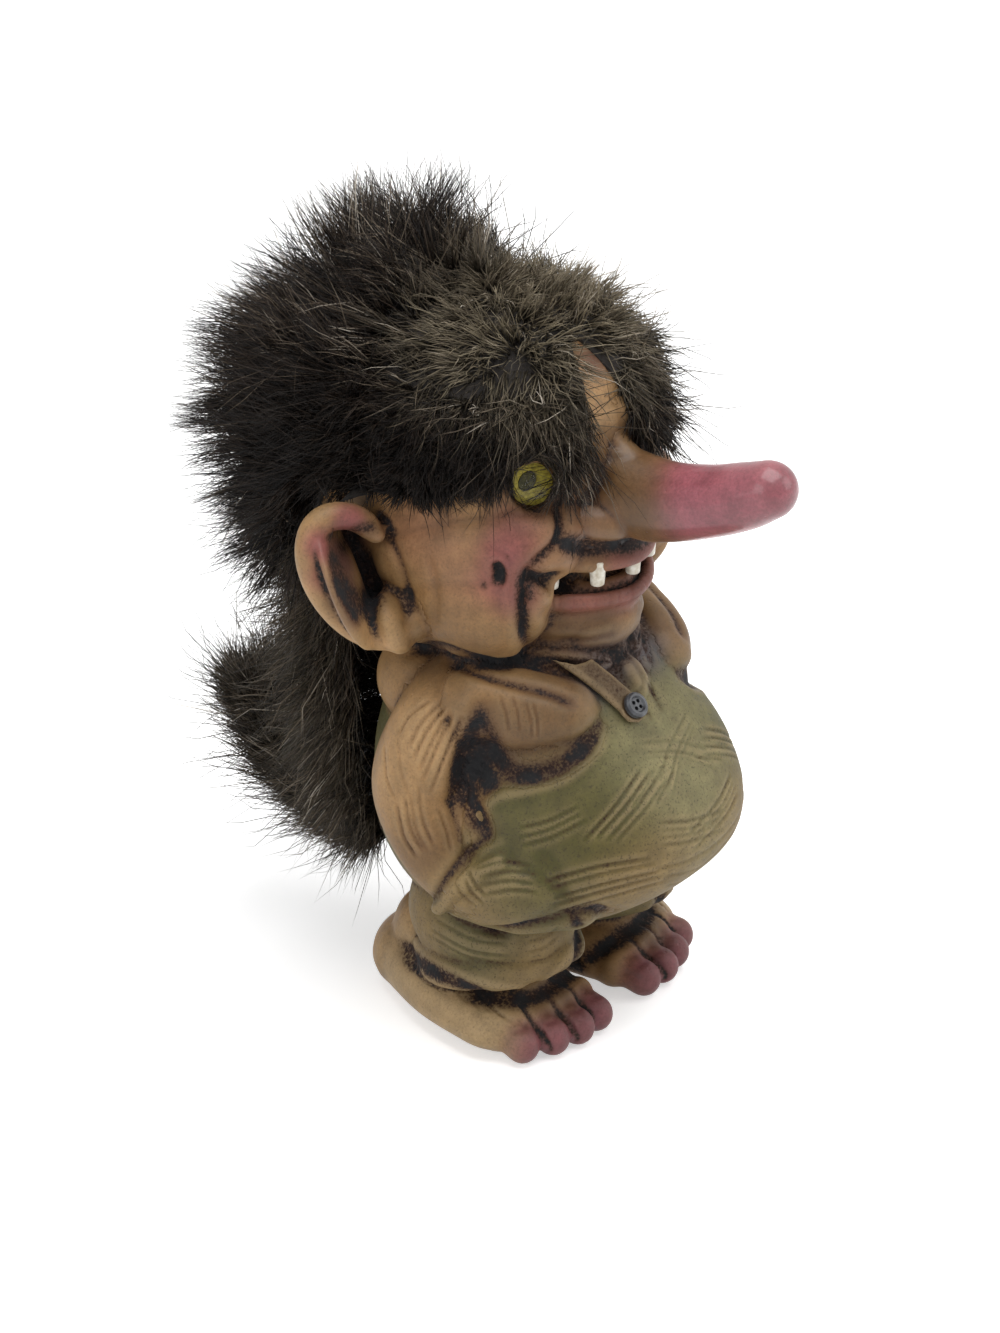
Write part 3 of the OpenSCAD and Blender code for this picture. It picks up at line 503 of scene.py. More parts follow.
# Each stroke is drawn on the near side as it is seen in the photograph, or in millimetres, and is
# pressed into both sides. It holds its points, half width, depth (less than 0 raises) and dark wash.
# The dark wash is partly painted shade, where a stroke lies in a hollow or under an overhang, and a
# wash below 0 makes the paint paler, as worn paint and painted highlight.
STROKES = [
    # eye sockets, darkened with painted shade
    ([(-15, -19, 99.5), (-16.4, -18, 99.2)], 3.9, 2.5, 0.9),
    ([(514, 474), (514, 488)], 1.8, 1.2, 1.0),
    # mouth corner with painted shade, and the cliff of the jowl in front of the jaw
    ([(523, 572), (522, 590), (523, 612), (525, 630), (529, 645)], 1.3, 2.2, 1.0),
    ([(560, 502), (562, 518), (561, 533), (553, 548), (538, 560), (526, 572)], 1.0, 1.3, 0.75),
    ([(530, 574), (533, 590), (531, 606)], 1.5, 1.4, 0.65),
    # the mouth between the lips
    ([(528, 580), (548, 583), (580, 584), (615, 581), (648, 574)], 1.4, 3.2, 1.0),
    # under the lower lip, painted shade under the chin, and a fold on the chin
    ([(540, 612), (560, 617), (600, 616), (640, 607)], 1.4, 0.35, 0.05),
    ([(524, 654), (550, 661), (590, 663), (622, 656), (640, 644)], 1.6, 0.9, 0.7),
    ([(560, 640), (590, 640), (615, 634)], 0.8, 0.3, 0.25),
    # nostril wing with painted shade under it, and the crease between wing and cheek
    ([(560, 542), (580, 548), (600, 549), (622, 546), (650, 543)], 1.8, 0.9, 1.0),
    ([(580, 500), (596, 490), (608, 474)], 1.2, 0.3, 0.35),
    # wrinkles over the bridge of the nose
    ([(606, 440), (614, 446), (622, 448)], 0.6, 0.15, 0.1),
    # dimple, with creases round it
    ([(497, 566), (499, 574), (498, 582)], 0.9, 1.6, 1.0),
    ([(490, 548), (505, 556), (510, 570), (508, 590)], 0.8, 0.3, 0.2),
    ([(478, 560), (484, 575), (484, 592)], 1.0, 0.25, 0.1),
    # jaw line under ear and jowl
    ([(408, 654), (436, 646), (470, 656), (500, 662), (524, 656)], 1.5, 0.7, 0.7),
    ([(430, 560), (436, 590), (436, 625)], 1.0, 0.2, 0.05),
    # neck folds
    ([(448, 662), (490, 677), (545, 692), (574, 704)], 1.2, 0.7, 0.5),
    ([(560, 664), (590, 676), (612, 690)], 0.9, 0.5, 0.45),
    ([(602, 655), (614, 672), (622, 690)], 1.4, 0.5, 0.35),
    ([(624, 648), (640, 668), (664, 712)], 0.8, 0.4, 0.4),
    # painted shade between chest and arm, and under the chest
    ([(482, 708), (474, 735), (464, 768), (464, 795), (474, 818), (486, 836)], 2.3, 1.7, 0.95),
    ([(486, 726), (492, 752), (508, 770), (532, 777), (562, 768), (588, 750), (602, 730)], 2.2, 1.5, 0.95),
    ([(476, 764), (486, 786)], 2.8, 1.2, 0.95),
    # edge of the bib, and the seam along it, paler as worn paint and painted highlight
    ([(486, 806), (498, 797), (533, 789), (568, 777), (598, 752), (606, 734)], 1.1, -0.55, -0.6),
    # pocket lip and the hand in the pocket, the lip paler as worn paint and painted highlight
    ([(486, 838), (468, 852), (448, 876), (432, 902)], 0.9, 0.6, 0.35),
    ([(500, 842), (476, 862), (456, 886), (440, 908)], 1.0, -0.35, -0.5),
    ([(446, 914), (480, 928), (515, 930), (548, 916), (566, 900)], 1.8, 0.6, 0.3),
    ([(540, 856), (556, 872), (562, 894)], 1.8, 0.4, 0.15),
    # belly over the leg and the hem, with painted shade under both and a painted highlight on the hem
    ([(480, 930), (510, 933), (545, 926), (580, 914), (612, 912)], 1.5, 1.2, 0.55),
    ([(574, 916), (580, 936), (580, 954)], 1.2, 0.8, 0.9),
    ([(402, 948), (424, 967), (474, 991), (524, 997), (564, 976), (584, 949)], 2.1, 0.7, 1.0),
    ([(410, 938), (430, 956), (476, 980), (524, 986), (556, 970), (572, 948)], 0.9, -0.35, -0.4),
    # between the toes, and knuckles across them
    *[toe_gap(inner, outer) for inner, outer in zip(TOES, TOES[1:])],
    *[knuckle(x, y) for x, y in TOES],
    ([(400, 985), (430, 1010), (470, 1030)], 1.6, 0.2, 0.2),
    # ear: bowl, its upper arm, and the crease where it leaves the head
    ([(338, 556), (345, 580), (358, 600), (378, 604)], 3.0, 0.5, 0.9),
    ([(334, 548), (338, 576), (347, 600), (360, 618)], 2.0, 0.2, 0.9),
    ([(340, 554), (348, 538), (364, 530), (378, 530)], 1.7, 0.5, 0.7),
    ([(360, 556), (370, 575), (378, 592)], 2.6, 0.6, 0.85),
    ([(379, 510), (386, 530), (398, 556), (408, 590), (408, 622)], 1.0, 0.4, 0.35),
]
# Sets of score lines: first line, last line, how many, half width, depth, wash
SCORES = [
    (((585, 838), (615, 805), (640, 769)), ((618, 842), (645, 812), (668, 780)), 4, 0.31, 0.3, 0.23),
    (((631, 809), (644, 790), (655, 769)), ((655, 800), (664, 785), (672, 769)), 3, 0.27, 0.25, 0.20),
    (((660, 824), (690, 822), (722, 812)), ((664, 846), (694, 842), (724, 830)), 4, 0.31, 0.3, 0.25),
    (((640, 742), (676, 740), (706, 748)), ((646, 760), (682, 760), (716, 772)), 3, 0.31, 0.22, 0.17),
    (((548, 880), (600, 866), (650, 858)), ((560, 912), (610, 898), (665, 882)), 5, 0.35, 0.3, 0.20),
    (((660, 868), (690, 860), (715, 846)), ((664, 886), (692, 880), (712, 868)), 3, 0.31, 0.25, 0.20),
    (((480, 868), (505, 862), (532, 866)), ((484, 892), (510, 888), (534, 890)), 4, 0.31, 0.28, 0.23),
    (((455, 884), (462, 896), (474, 906)), ((470, 872), (476, 884), (486, 896)), 3, 0.31, 0.25, 0.20),
    (((520, 826), (546, 820), (575, 806)), ((524, 846), (552, 838), (584, 822)), 3, 0.31, 0.22, 0.17),
    (((402, 732), (412, 715), (432, 700)), ((430, 790), (446, 750), (460, 716)), 6, 0.35, 0.35, 0.25),
    (((396, 806), (402, 836), (414, 856)), ((420, 790), (424, 822), (434, 846)), 4, 0.35, 0.35, 0.25),
    (((386, 748), (388, 780), (396, 800)), ((398, 742), (400, 770), (408, 796)), 2, 0.31, 0.25, 0.20),
    (((440, 810), (448, 832), (452, 850)), ((452, 800), (458, 820), (464, 840)), 2, 0.31, 0.25, 0.20),
    (((500, 694), (506, 712), (508, 728)), ((536, 706), (540, 722), (540, 738)), 4, 0.23, 0.2, 0.17),
    (((430, 934), (470, 956), (512, 962)), ((436, 922), (470, 940), (505, 946)), 3, 0.31, 0.2, 0.15),
    (((530, 960), (548, 956), (562, 944)), ((528, 944), (545, 938), (556, 930)), 3, 0.31, 0.2, 0.15),
    (((592, 380), (600, 376), (612, 374)), ((596, 420), (604, 418), (618, 420)), 3, 0.3, 0.1, 0.08),
    (((560, 596), (561, 604), (560, 610)), ((632, 590), (632, 598), (630, 604)), 7, 0.23, 0.12, 0.08),
    (((440, 968), (456, 990), (470, 1004)), ((486, 1000), (500, 1012), (512, 1020)), 5, 0.31, 0.2, 0.15),
]
# Most that strokes may raise the skin, and most that they may press it, in millimetres
RAISED_MOST = 0.8
PRESSED_MOST = 3.4
# How far off its place a score line may start and end, in pixels
SCORE_SHIFT = 2.5


def surface_tree(thing):
    return BVHTree.FromObject(thing, bpy.context.evaluated_depsgraph_get())


def to_metres(p):
    return Vector((p[0] * MM, (p[1] - MIDDLE) * MM, p[2] * MM))


def to_mm(p):
    return np.array([p[0] / MM, p[1] / MM + MIDDLE, p[2] / MM])


def on_surface(tree, point):
    """Point of the skin, in millimetres, at a pixel of the photograph or nearest to a point in space."""
    if len(point) == 2:
        start, way = photo_ray(point)
        hit = tree.ray_cast(to_metres(start), way)
    else:
        hit = tree.find_nearest(to_metres(point))
    return None if hit[0] is None else to_mm(hit[0])


def stroke_path(tree, points, step=0.3):
    """Close points along a stroke, laid on the skin: 2 pixels apart, or a step in millimetres."""
    if len(points[0]) == 2:
        rows = smooth_curve(points, 2 + int(path_length(points) / 2))
        found = [on_surface(tree, row) for row in rows]
        return [f for f in found if f is not None]
    rows = smooth_curve([on_surface(tree, p) for p in points], 2 + int(path_length(points) / step))
    return [on_surface(tree, row) for row in rows]


def fade(count, finder, path, half):
    """How strongly a stroke acts on each point of the skin, from 0 to 1, with ends that thin out."""
    reach = np.zeros(count)
    last = max(len(path) - 1, 1)
    for i, spot in enumerate(path):
        ends = min(1.0, 0.35 + 4 * min(i, last - i) / last)
        for side in (1, -1):
            for co, index, distance in finder.find_range((spot[0] * side, spot[1], spot[2]), half * 2.2):
                value = ends * math.exp(-(distance / half) ** 2)
                if value > reach[index]:
                    reach[index] = value
    return reach


def tool_marks(thing, marks):
    """Presses a list of strokes into a skin and gives back their dark washes, partly painted shade."""
    tree = surface_tree(thing)
    points, normals = points_of(thing), normals_of(thing)
    finder = point_finder(points)
    depth, wash = np.zeros(len(points)), np.zeros(len(points))
    for path, half, deep, dark in marks:
        reach = fade(len(points), finder, stroke_path(tree, path), half)
        depth += reach * deep
        wash = np.maximum(wash, reach * dark) if dark > 0 else wash + reach * dark
    set_points(thing, points - normals * np.clip(depth, -RAISED_MOST, PRESSED_MOST)[:, None])
    return np.clip(wash, -1, 1)


def score_lines():
    """The single lines of the sets of score lines, each a little off its place."""
    rng = random.Random(5)
    lines = []
    for first, last, count, half, deep, dark in SCORES:
        for k in range(count):
            t = k / max(count - 1, 1)
            shift = [rng.uniform(-SCORE_SHIFT, SCORE_SHIFT) for _ in range(2)]
            line = [tuple((1 - t) * a[i] + t * b[i] + shift[i] for i in (0, 1)) for a, b in zip(first, last)]
            lines.append((line, half * rng.uniform(0.8, 1.2), deep * rng.uniform(0.7, 1.3),
                          dark * rng.uniform(0.7, 1.2)))
    return lines


stroke_wash = tool_marks(cast, STROKES)
apply_modifier(cast, "SMOOTH", factor=0.5, iterations=3)
score_wash = tool_marks(cast, score_lines())


# Paint

# The pots of paint, as they look when dry. Pale tan and pale olive are also laid as painted highlight,
# and umber as painted shade.
PAINTS = {
    "skin": "#8a6942", "cloth": "#484526", "pale_tan_and_highlight": "#a58259", "warm_tan": "#8d6449",
    "umber_and_shade": "#5c4229", "rose": "#84484a", "lip": "#77443f", "nose_rose": "#8d4a56",
    "nose_tip": "#80434e", "plum": "#45262a", "magenta": "#703f47", "blue_grey": "#4d4e58",
    "olive": "#45411a", "green": "#4f4a2a", "olive_highlight": "#77714f", "ochre": "#76603b",
    "heel": "#9c8460",
}
# Dabs on the near side, repeated on the far one: paint, radius in millimetres, pixels or points in space
DABS = [
    ("warm_tan", 5, [(420, 545), (455, 590), (540, 520), (585, 524)]),
    ("skin", 6, [(440, 620), (480, 630), (420, 590), (470, 690), (420, 800)]),
    ("rose", 3, [(506, 556), (490, 585), (512, 600), (520, 535)]),
    # pale tan, which on the upper arm is a painted highlight
    ("pale_tan_and_highlight", 5, [(420, 740), (400, 790), (310, 600), (380, 650), (600, 400)]),
    # umber, partly painted shade under the jaw, the chin and the nose and on the neck
    ("umber_and_shade", 4, [(552, 640), (612, 440), (635, 495), (650, 520), (640, 480), (450, 660), (560, 700),
                  (520, 720), (425, 845), (590, 640)]),
    ("plum", 2.4, [(338, 556), (338, 572), (342, 590), (350, 608), (345, 560), (350, 590), (372, 600),
                   (352, 538), (372, 575), (594, 366)]),
    ("rose", 2.0, [(322, 548), (320, 580), (350, 522)]),
    ("lip", 2.4, [(640, 552), (622, 557), (600, 602), (625, 598), (645, 590), (575, 604)]),
    ("nose_rose", 5, [(700, 500), (735, 485), (735, 515), (768, 490), (685, 480), (690, 525)]),
    ("nose_tip", 3.4, [(790, 490), (775, 510)]),
    ("blue_grey", 4, [(600, 668)]),
    # painted highlight on the top and the side of the belly
    ("olive_highlight", 7, [(640, 770), (700, 790), (672, 735), (690, 820)]),
    ("olive", 7, [(600, 800), (560, 830), (620, 830), (560, 870)]),
    ("green", 6, [(500, 880), (545, 800), (470, 940)]),
    ("ochre", 6, [(660, 860), (620, 885), (470, 900), (420, 925), (690, 850), (540, 975)]),
    ("heel", 6, [(400, 980), (440, 1010), (480, 1024)]),
    ("umber_and_shade", 3, [(560, 1003)]),
    # more umber as painted shade on the neck, under the jaw and under the nose wing
    ("umber_and_shade", 5, [(470, 700), (500, 735), (545, 745), (470, 642), (440, 632), (620, 505), (600, 515)]),
    ("magenta", 3.6, [on_foot(x, y - 2.4, 3.6) for x, y in TOES] * 2),
    ("magenta", 2.0, [on_foot(x, y - 1.4, 6.2) for x, y in TOES]),
]
# Weight of the ground coat, where a dab has 1 at its middle
GROUND_WEIGHT = 0.12


def neighbours_mean(thing, values, times):
    """Values spread over the skin by averaging each point with its neighbours."""
    edges = np.empty(len(thing.data.edges) * 2, dtype=np.int64)
    thing.data.edges.foreach_get("vertices", edges)
    a, b = edges[0::2], edges[1::2]
    count = len(thing.data.vertices)
    weight = np.bincount(a, minlength=count) + np.bincount(b, minlength=count) + 1.0
    values = np.array(values, float)
    flat = values.reshape(count, -1)
    for _ in range(times):
        total = flat.copy()
        for k in range(flat.shape[1]):
            total[:, k] += np.bincount(a, flat[b, k], count) + np.bincount(b, flat[a, k], count)
        flat = total / weight[:, None]
    return flat.reshape(values.shape)


def zone_of(points):
    """The clay that each point of the skin came from."""
    finder = point_finder(clay_points)
    return np.array([clay_zones[finder.find(p)[1]] for p in points])


def dabbed_colour(thing, zones, tree):
    """Linear colour of each point: a ground coat for skin or cloth, and the dabs over it."""
    points = points_of(thing)
    cloth = neighbours_mean(thing, (zones == "overalls").astype(float), 3)[:, None]
    colour = np.array(linear(PAINTS["skin"])) * (1 - cloth) + np.array(linear(PAINTS["cloth"])) * cloth
    total = np.full(len(points), GROUND_WEIGHT)
    mixed = colour * total[:, None]
    for pot, radius, places in DABS:
        found = [on_surface(tree, place) for place in places]
        for spot in (f for f in found if f is not None):
            for side in (1, -1):
                away = points - spot * [side, 1, 1]
                weight = np.exp(-(away ** 2).sum(1) / radius ** 2)
                mixed += weight[:, None] * np.array(linear(PAINTS[pot]))
                total += weight
    return mixed / total[:, None]


def hollowness(thing, times):
    """How far each point lies below the mean of its neighbourhood, in millimetres."""
    points = points_of(thing)
    return ((neighbours_mean(thing, points, times) - points) * normals_of(thing)).sum(1)


def brushed_wash(thing, hollow):
    """Darkness of each point: washes of the tool marks, partly painted shade, and of the fine
    hollows, with painted shade spread round the marks and laid in the broad hollows.
    """
    # painted shade in the broad hollows, where light reaches less
    deep = np.clip((hollowness(thing, 60) - 0.16) / 1.1, 0, 1)
    wash = np.maximum(stroke_wash, 0)
    # soft painted shade, spread round the darkest marks
    soft = neighbours_mean(thing, wash, 30)
    wash = np.maximum(wash, np.clip(soft * 0.9, 0, 0.6))
    scored = 1 - 0.8 * np.maximum(score_wash, 0)
    wash = 1 - (1 - wash) * scored * (1 - 0.5 * np.maximum(hollow, 0)) * (1 - 0.55 * deep)
    return np.clip(neighbours_mean(thing, wash, 1), 0, 1)


def paint_skin(thing, zones, tree):
    """Keeps as colour attributes the paint, the washes with their painted shade, the paler rubbed
    paint with its painted highlight, and how pink the paint is.
    """
    colour = dabbed_colour(thing, zones, tree)
    hollow = np.clip(hollowness(thing, 6) / 0.10, -1, 1)
    wash = brushed_wash(thing, hollow)
    # paler on high spots and raised strokes: worn paint, and painted highlight
    worn_and_lit = np.clip(np.maximum(-hollow, 0) * 0.6 + np.maximum(-stroke_wash, 0), 0, 1)
    pink = np.clip((colour[:, 0] / np.maximum(colour[:, 1], 1e-4) - 1.6) / 1.2, 0, 1)
    worn_and_lit *= (1 - 0.85 * pink) * (1 - wash)
    one = np.ones(len(wash))
    paint_layer(thing, "paint", [colour, one])
    paint_layer(thing, "wash", [wash, worn_and_lit, pink, one])


# Patterns of the latex, in repeats to the metre: patches of 4 mm that a brush leaves, grain of 0.5 mm,
# specks of 0.4 mm and casting pits of 2 mm. Real pits are finer, and are drawn coarse to show.
PATCHES = 240.0
GRAINS = 1900.0
SPECKS = 2600.0
PITS = 520.0
# paler tone of worn paint, also laid on high spots as painted highlight
WORN_AND_HIGHLIGHT_PAINT = "#bca27a"
SPECK = "#2c241c"
# brown of thin wash and near blacks of thick wash, also the colours of the painted shade
THIN_WASH_AND_SHADE = "#40291b"
THICK_WASH_AND_SHADE = ("#170d0d", "#12181c")


def latex_wash(tree, wash, patch, grain):
    """How far the dark washes and painted shade cover. They break up where the brush skipped, in
    patches and in the grain.
    """
    ragged = add_node(tree, "ShaderNodeMath", {0: patch, 1: 1.9, 2: -0.95}, operation="MULTIPLY_ADD")
    both = {0: grain, 1: 2.2, 2: ragged.outputs[0]}
    broken = add_node(tree, "ShaderNodeMath", both, operation="MULTIPLY_ADD").outputs[0]
    uneven = add_node(tree, "ShaderNodeMath", {0: broken, 1: wash}, operation="MULTIPLY").outputs[0]
    limits = {0: uneven, 1: 0.12, 2: 1.05, 3: 0.0, 4: 0.95}
    return add_node(tree, "ShaderNodeMapRange", limits, interpolation_type="SMOOTHSTEP").outputs[0]


def latex_paint(tree, where, wear_and_highlight, patch, grain, speckle):
    """The paint below the washes: uneven in its patches and grain, paler where rubbed and as painted
    highlight, and flecked.
    """
    paint = add_node(tree, "ShaderNodeVertexColor", layer_name="paint").outputs["Color"]
    light = add_node(tree, "ShaderNodeMapRange", {0: patch, 1: 0.3, 2: 0.7, 3: 0.74, 4: 1.2}).outputs[0]
    speck = add_node(tree, "ShaderNodeMapRange", {0: grain, 1: 0.3, 2: 0.7, 3: 0.82, 4: 1.12}).outputs[0]
    both = add_node(tree, "ShaderNodeMath", {0: light, 1: speck}, operation="MULTIPLY").outputs[0]
    toned = add_node(tree, "ShaderNodeVectorMath", {0: paint, "Scale": both}, operation="SCALE").outputs[0]
    amount = add_node(tree, "ShaderNodeMath", {0: wear_and_highlight, 1: 0.4}, operation="MULTIPLY").outputs[0]
    worn_and_lit = add_node(tree, "ShaderNodeMix", {0: amount, 6: toned, 7: WORN_AND_HIGHLIGHT_PAINT}, data_type="RGBA").outputs[2]
    dots = add_node(tree, "ShaderNodeTexNoise", {"Vector": where, "Scale": SPECKS, "Detail": 2.0})
    limits = {0: dots.outputs["Fac"], 1: 0.34, 2: 0.42, 3: speckle, 4: 0.0}
    dotted = add_node(tree, "ShaderNodeMapRange", limits).outputs[0]
    return add_node(tree, "ShaderNodeMix", {0: dotted, 6: worn_and_lit, 7: SPECK}, data_type="RGBA").outputs[2]


def washed_paint(tree, paint, cover, patch):
    """The paint under washes and painted shade: brown where they are thin, and near black where thick."""
    thick = add_node(tree, "ShaderNodeMath", {0: cover, 1: cover}, operation="MULTIPLY").outputs[0]
    thin = add_node(tree, "ShaderNodeMath", {0: cover, 1: 1.35}, operation="MULTIPLY", use_clamp=True)
    tones = {0: thin.outputs[0], 6: paint, 7: THIN_WASH_AND_SHADE}
    stained_and_shaded = add_node(tree, "ShaderNodeMix", tones, data_type="RGBA").outputs[2]
    cold = add_node(tree, "ShaderNodeMapRange", {0: patch, 1: 0.42, 2: 0.58, 3: 0.0, 4: 1.0}).outputs[0]
    blacks = {0: cold, 6: THICK_WASH_AND_SHADE[0], 7: THICK_WASH_AND_SHADE[1]}
    deepest = add_node(tree, "ShaderNodeMix", blacks, data_type="RGBA").outputs[2]
    return add_node(tree, "ShaderNodeMix", {0: thick, 6: stained_and_shaded, 7: deepest}, data_type="RGBA").outputs[2]


def latex_relief(tree, where, grain):
    """Small pits of the casting over the grain of the paint."""
    pits = add_node(tree, "ShaderNodeTexVoronoi", {"Vector": where, "Scale": PITS}, feature="F1")
    limits = {0: pits.outputs["Distance"], 1: 0.0, 2: 0.16, 3: 0.0, 4: 1.0}
    pit = add_node(tree, "ShaderNodeMapRange", limits).outputs[0]
    relief = add_node(tree, "ShaderNodeMath", {0: grain, 1: 0.5, 2: pit}, operation="MULTIPLY_ADD").outputs[0]
    bump = add_node(tree, "ShaderNodeBump", {"Height": relief, "Strength": 0.35, "Distance": 0.0003})
    return bump.outputs[0]


def painted_latex(name, roughness, coat, speckle):
    """Natural latex under thin brushed paint: matt, with dark washes and painted shade in the hollows,
    and high spots paler where rubbed and as painted highlight.

    A clear coat lies only where the paint is pink, and gives the nose its wet look."""
    material, tree, shader = new_material(name)
    where = add_node(tree, "ShaderNodeTexCoord").outputs["Object"]
    layer = add_node(tree, "ShaderNodeVertexColor", layer_name="wash").outputs["Color"]
    wash, wear_and_highlight, pink = add_node(tree, "ShaderNodeSeparateColor", {0: layer}).outputs
    noise = {"Vector": where, "Roughness": 0.6}
    patch = add_node(tree, "ShaderNodeTexNoise", {**noise, "Scale": PATCHES, "Detail": 4.0}).outputs["Fac"]
    grain = add_node(tree, "ShaderNodeTexNoise", {**noise, "Scale": GRAINS, "Detail": 3.0}).outputs["Fac"]
    cover = latex_wash(tree, wash, patch, grain)
    paint = latex_paint(tree, where, wear_and_highlight, patch, grain, speckle)
    tree.links.new(washed_paint(tree, paint, cover, patch), shader.inputs["Base Color"])
    limits = {0: grain, 1: 0.3, 2: 0.7, 3: roughness - 0.07, 4: roughness + 0.1}
    rough = add_node(tree, "ShaderNodeMapRange", limits).outputs[0]
    dull = {0: cover, 1: 0.35, 2: rough}
    dulled = add_node(tree, "ShaderNodeMath", dull, operation="MULTIPLY_ADD", use_clamp=True).outputs[0]
    tree.links.new(dulled, shader.inputs["Roughness"])
    glossy = add_node(tree, "ShaderNodeMath", {0: pink, 1: coat}, operation="MULTIPLY").outputs[0]
    tree.links.new(glossy, shader.inputs["Coat Weight"])
    shader.inputs["Coat Roughness"].default_value = 0.16
    shader.inputs["Specular IOR Level"].default_value = 0.28
    shader.inputs["Subsurface Weight"].default_value = 0.06
    shader.inputs["Subsurface Radius"].default_value = (0.002, 0.0012, 0.0008)
    tree.links.new(latex_relief(tree, where, grain), shader.inputs["Normal"])
    return material


# How far each eye looks outwards, and how far behind its middle the skin and the flat of the glass lie
GAZE_TURN = math.radians(24)
SOCKET_BACK = 2.1
GLASS_BACK = 0.9
# Skin this far round the dome is pressed back, over a rim this wide, and none beyond the reach
SOCKET_ROOM = 0.5
SOCKET_RIM = 0.6
SOCKET_REACH = 8


def eye_place(side):
    """Middle and radius of an eye's dome in metres, from its CAD node, and the way that it looks."""
    low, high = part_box("eye_glass_" + side)
    sign = -1 if side == "right" else 1
    radius = (high[2] - low[2]) / 2
    across = low[0] + radius if side == "right" else high[0] - radius
    middle = (across, low[1] + radius, (low[2] + high[2]) / 2)
    return middle, radius, (sign * math.sin(GAZE_TURN), -math.cos(GAZE_TURN), 0)


def press_sockets(thing):
    """Seats the glass eyes: presses the skin back behind the painted ring of each eye."""
    points = points_of(thing)
    for side in ("right", "left"):
        middle, radius, gaze = eye_place(side)
        away = points - to_mm(middle)
        gaze = np.array(gaze)
        ahead = away @ gaze
        off = np.linalg.norm(away - ahead[:, None] * gaze, axis=1)
        within = np.clip((radius / MM + SOCKET_ROOM - off) / SOCKET_RIM, 0, 1)
        within = within * (np.abs(ahead) < SOCKET_REACH)
        points = points - (np.maximum(ahead + SOCKET_BACK, 0) * within)[:, None] * gaze
    set_points(thing, points)


press_sockets(cast)
skin_tree = surface_tree(cast)
zones = zone_of(points_of(cast))
paint_skin(cast, zones, skin_tree)


# The casting in its named pieces

# Each zone's piece, the CAD node that it replaces, and its slot
PIECES = {
    "head": ("skin_head", "head_skin", "painted_skin"),
    "jaw": ("skin_jaw", "jaw_skin", "painted_skin"),
    "nose": ("skin_nose", "nose", "painted_nose"),
    "ear_right": ("skin_ear_right", "ear_right", "painted_skin"),
    "ear_left": ("skin_ear_left", "ear_left", "painted_skin"),
    "torso": ("skin_torso", "torso_skin", "painted_skin"),
    "arm_right": ("skin_arm_right", "arm_right", "painted_skin"),
    "arm_left": ("skin_arm_left", "arm_left", "painted_skin"),
    "overalls": ("cast_overalls", "overalls", "painted_overalls"),
    "foot_right": ("skin_foot_right", "foot_right", "painted_skin"),
    "foot_left": ("skin_foot_left", "foot_left", "painted_skin"),
}
latex = {"painted_skin": painted_latex("natural_latex_skin_paint", 0.5, 0.03, 0.2),
         "painted_overalls": painted_latex("natural_latex_cloth_paint", 0.6, 0.0, 0.5),
         "painted_nose": painted_latex("natural_latex_glossy_paint", 0.38, 0.5, 0.12)}
# Thickness of the latex, and how close a new point of a rim lies to its old one, in metres
SKIN_THICK = 0.0012
SAME_PLACE = 1e-9


def close_rims(mesh):
    """Turns each open rim inwards by a skin's thickness and closes it."""
    rims = [e for e in mesh.edges if e.is_boundary]
    if not rims:
        return
    made = bmesh.ops.extrude_edge_only(mesh, edges=rims)["geom"]
    inner = [g for g in made if isinstance(g, bmesh.types.BMVert)]
    mesh.normal_update()
    outer = {}
    for v in inner:
        for e in v.link_edges:
            w = e.other_vert(v)
            if (w.co - v.co).length < SAME_PLACE and w not in outer:
                outer[v] = w
    for v, w in outer.items():
        v.co -= w.normal * SKIN_THICK
    bmesh.ops.holes_fill(mesh, edges=[e for e in mesh.edges if e.is_boundary])
    bmesh.ops.triangulate(mesh, faces=[f for f in mesh.faces if len(f.verts) > 4])
    bmesh.ops.recalc_face_normals(mesh, faces=mesh.faces)


def cut_piece(zone):
    """One named piece of the casting, from the faces of its zone, closed where it meets the others."""
    name, node, slot = PIECES[zone]
    mesh = bmesh.new()
    mesh.from_mesh(cast.data)
    mesh.faces.ensure_lookup_table()
    drop = [f for f in mesh.faces if face_zone[f.index] != zone]
    bmesh.ops.delete(mesh, geom=drop, context="FACES")
    close_rims(mesh)
    data = bpy.data.meshes.new(name)
    mesh.to_mesh(data)
    mesh.free()
    data.shade_smooth()
    thing = new_object(name, data)
    data.materials.append(latex[slot])
    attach(thing, "root")
    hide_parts(node)


def zones_of_faces():
    """The zone of each face: its points vote, after their zones are blended with their neighbours'."""
    names = list(PIECES)
    votes = neighbours_mean(cast, np.stack([(zones == n).astype(float) for n in names], 1), 6)
    corner = np.empty(len(cast.data.loops), dtype=np.int64)
    cast.data.loops.foreach_get("vertex_index", corner)
    starts = np.empty(len(cast.data.polygons), dtype=np.int64)
    cast.data.polygons.foreach_get("loop_start", starts)
    score = votes[corner[starts]] + votes[corner[starts + 1]] + votes[corner[starts + 2]]
    return np.array(names)[score.argmax(1)]


face_zone = zones_of_faces()
for zone in PIECES:
    cut_piece(zone)
bpy.data.objects.remove(cast)


# Eyes, and the pieces that keep the form of their CAD nodes


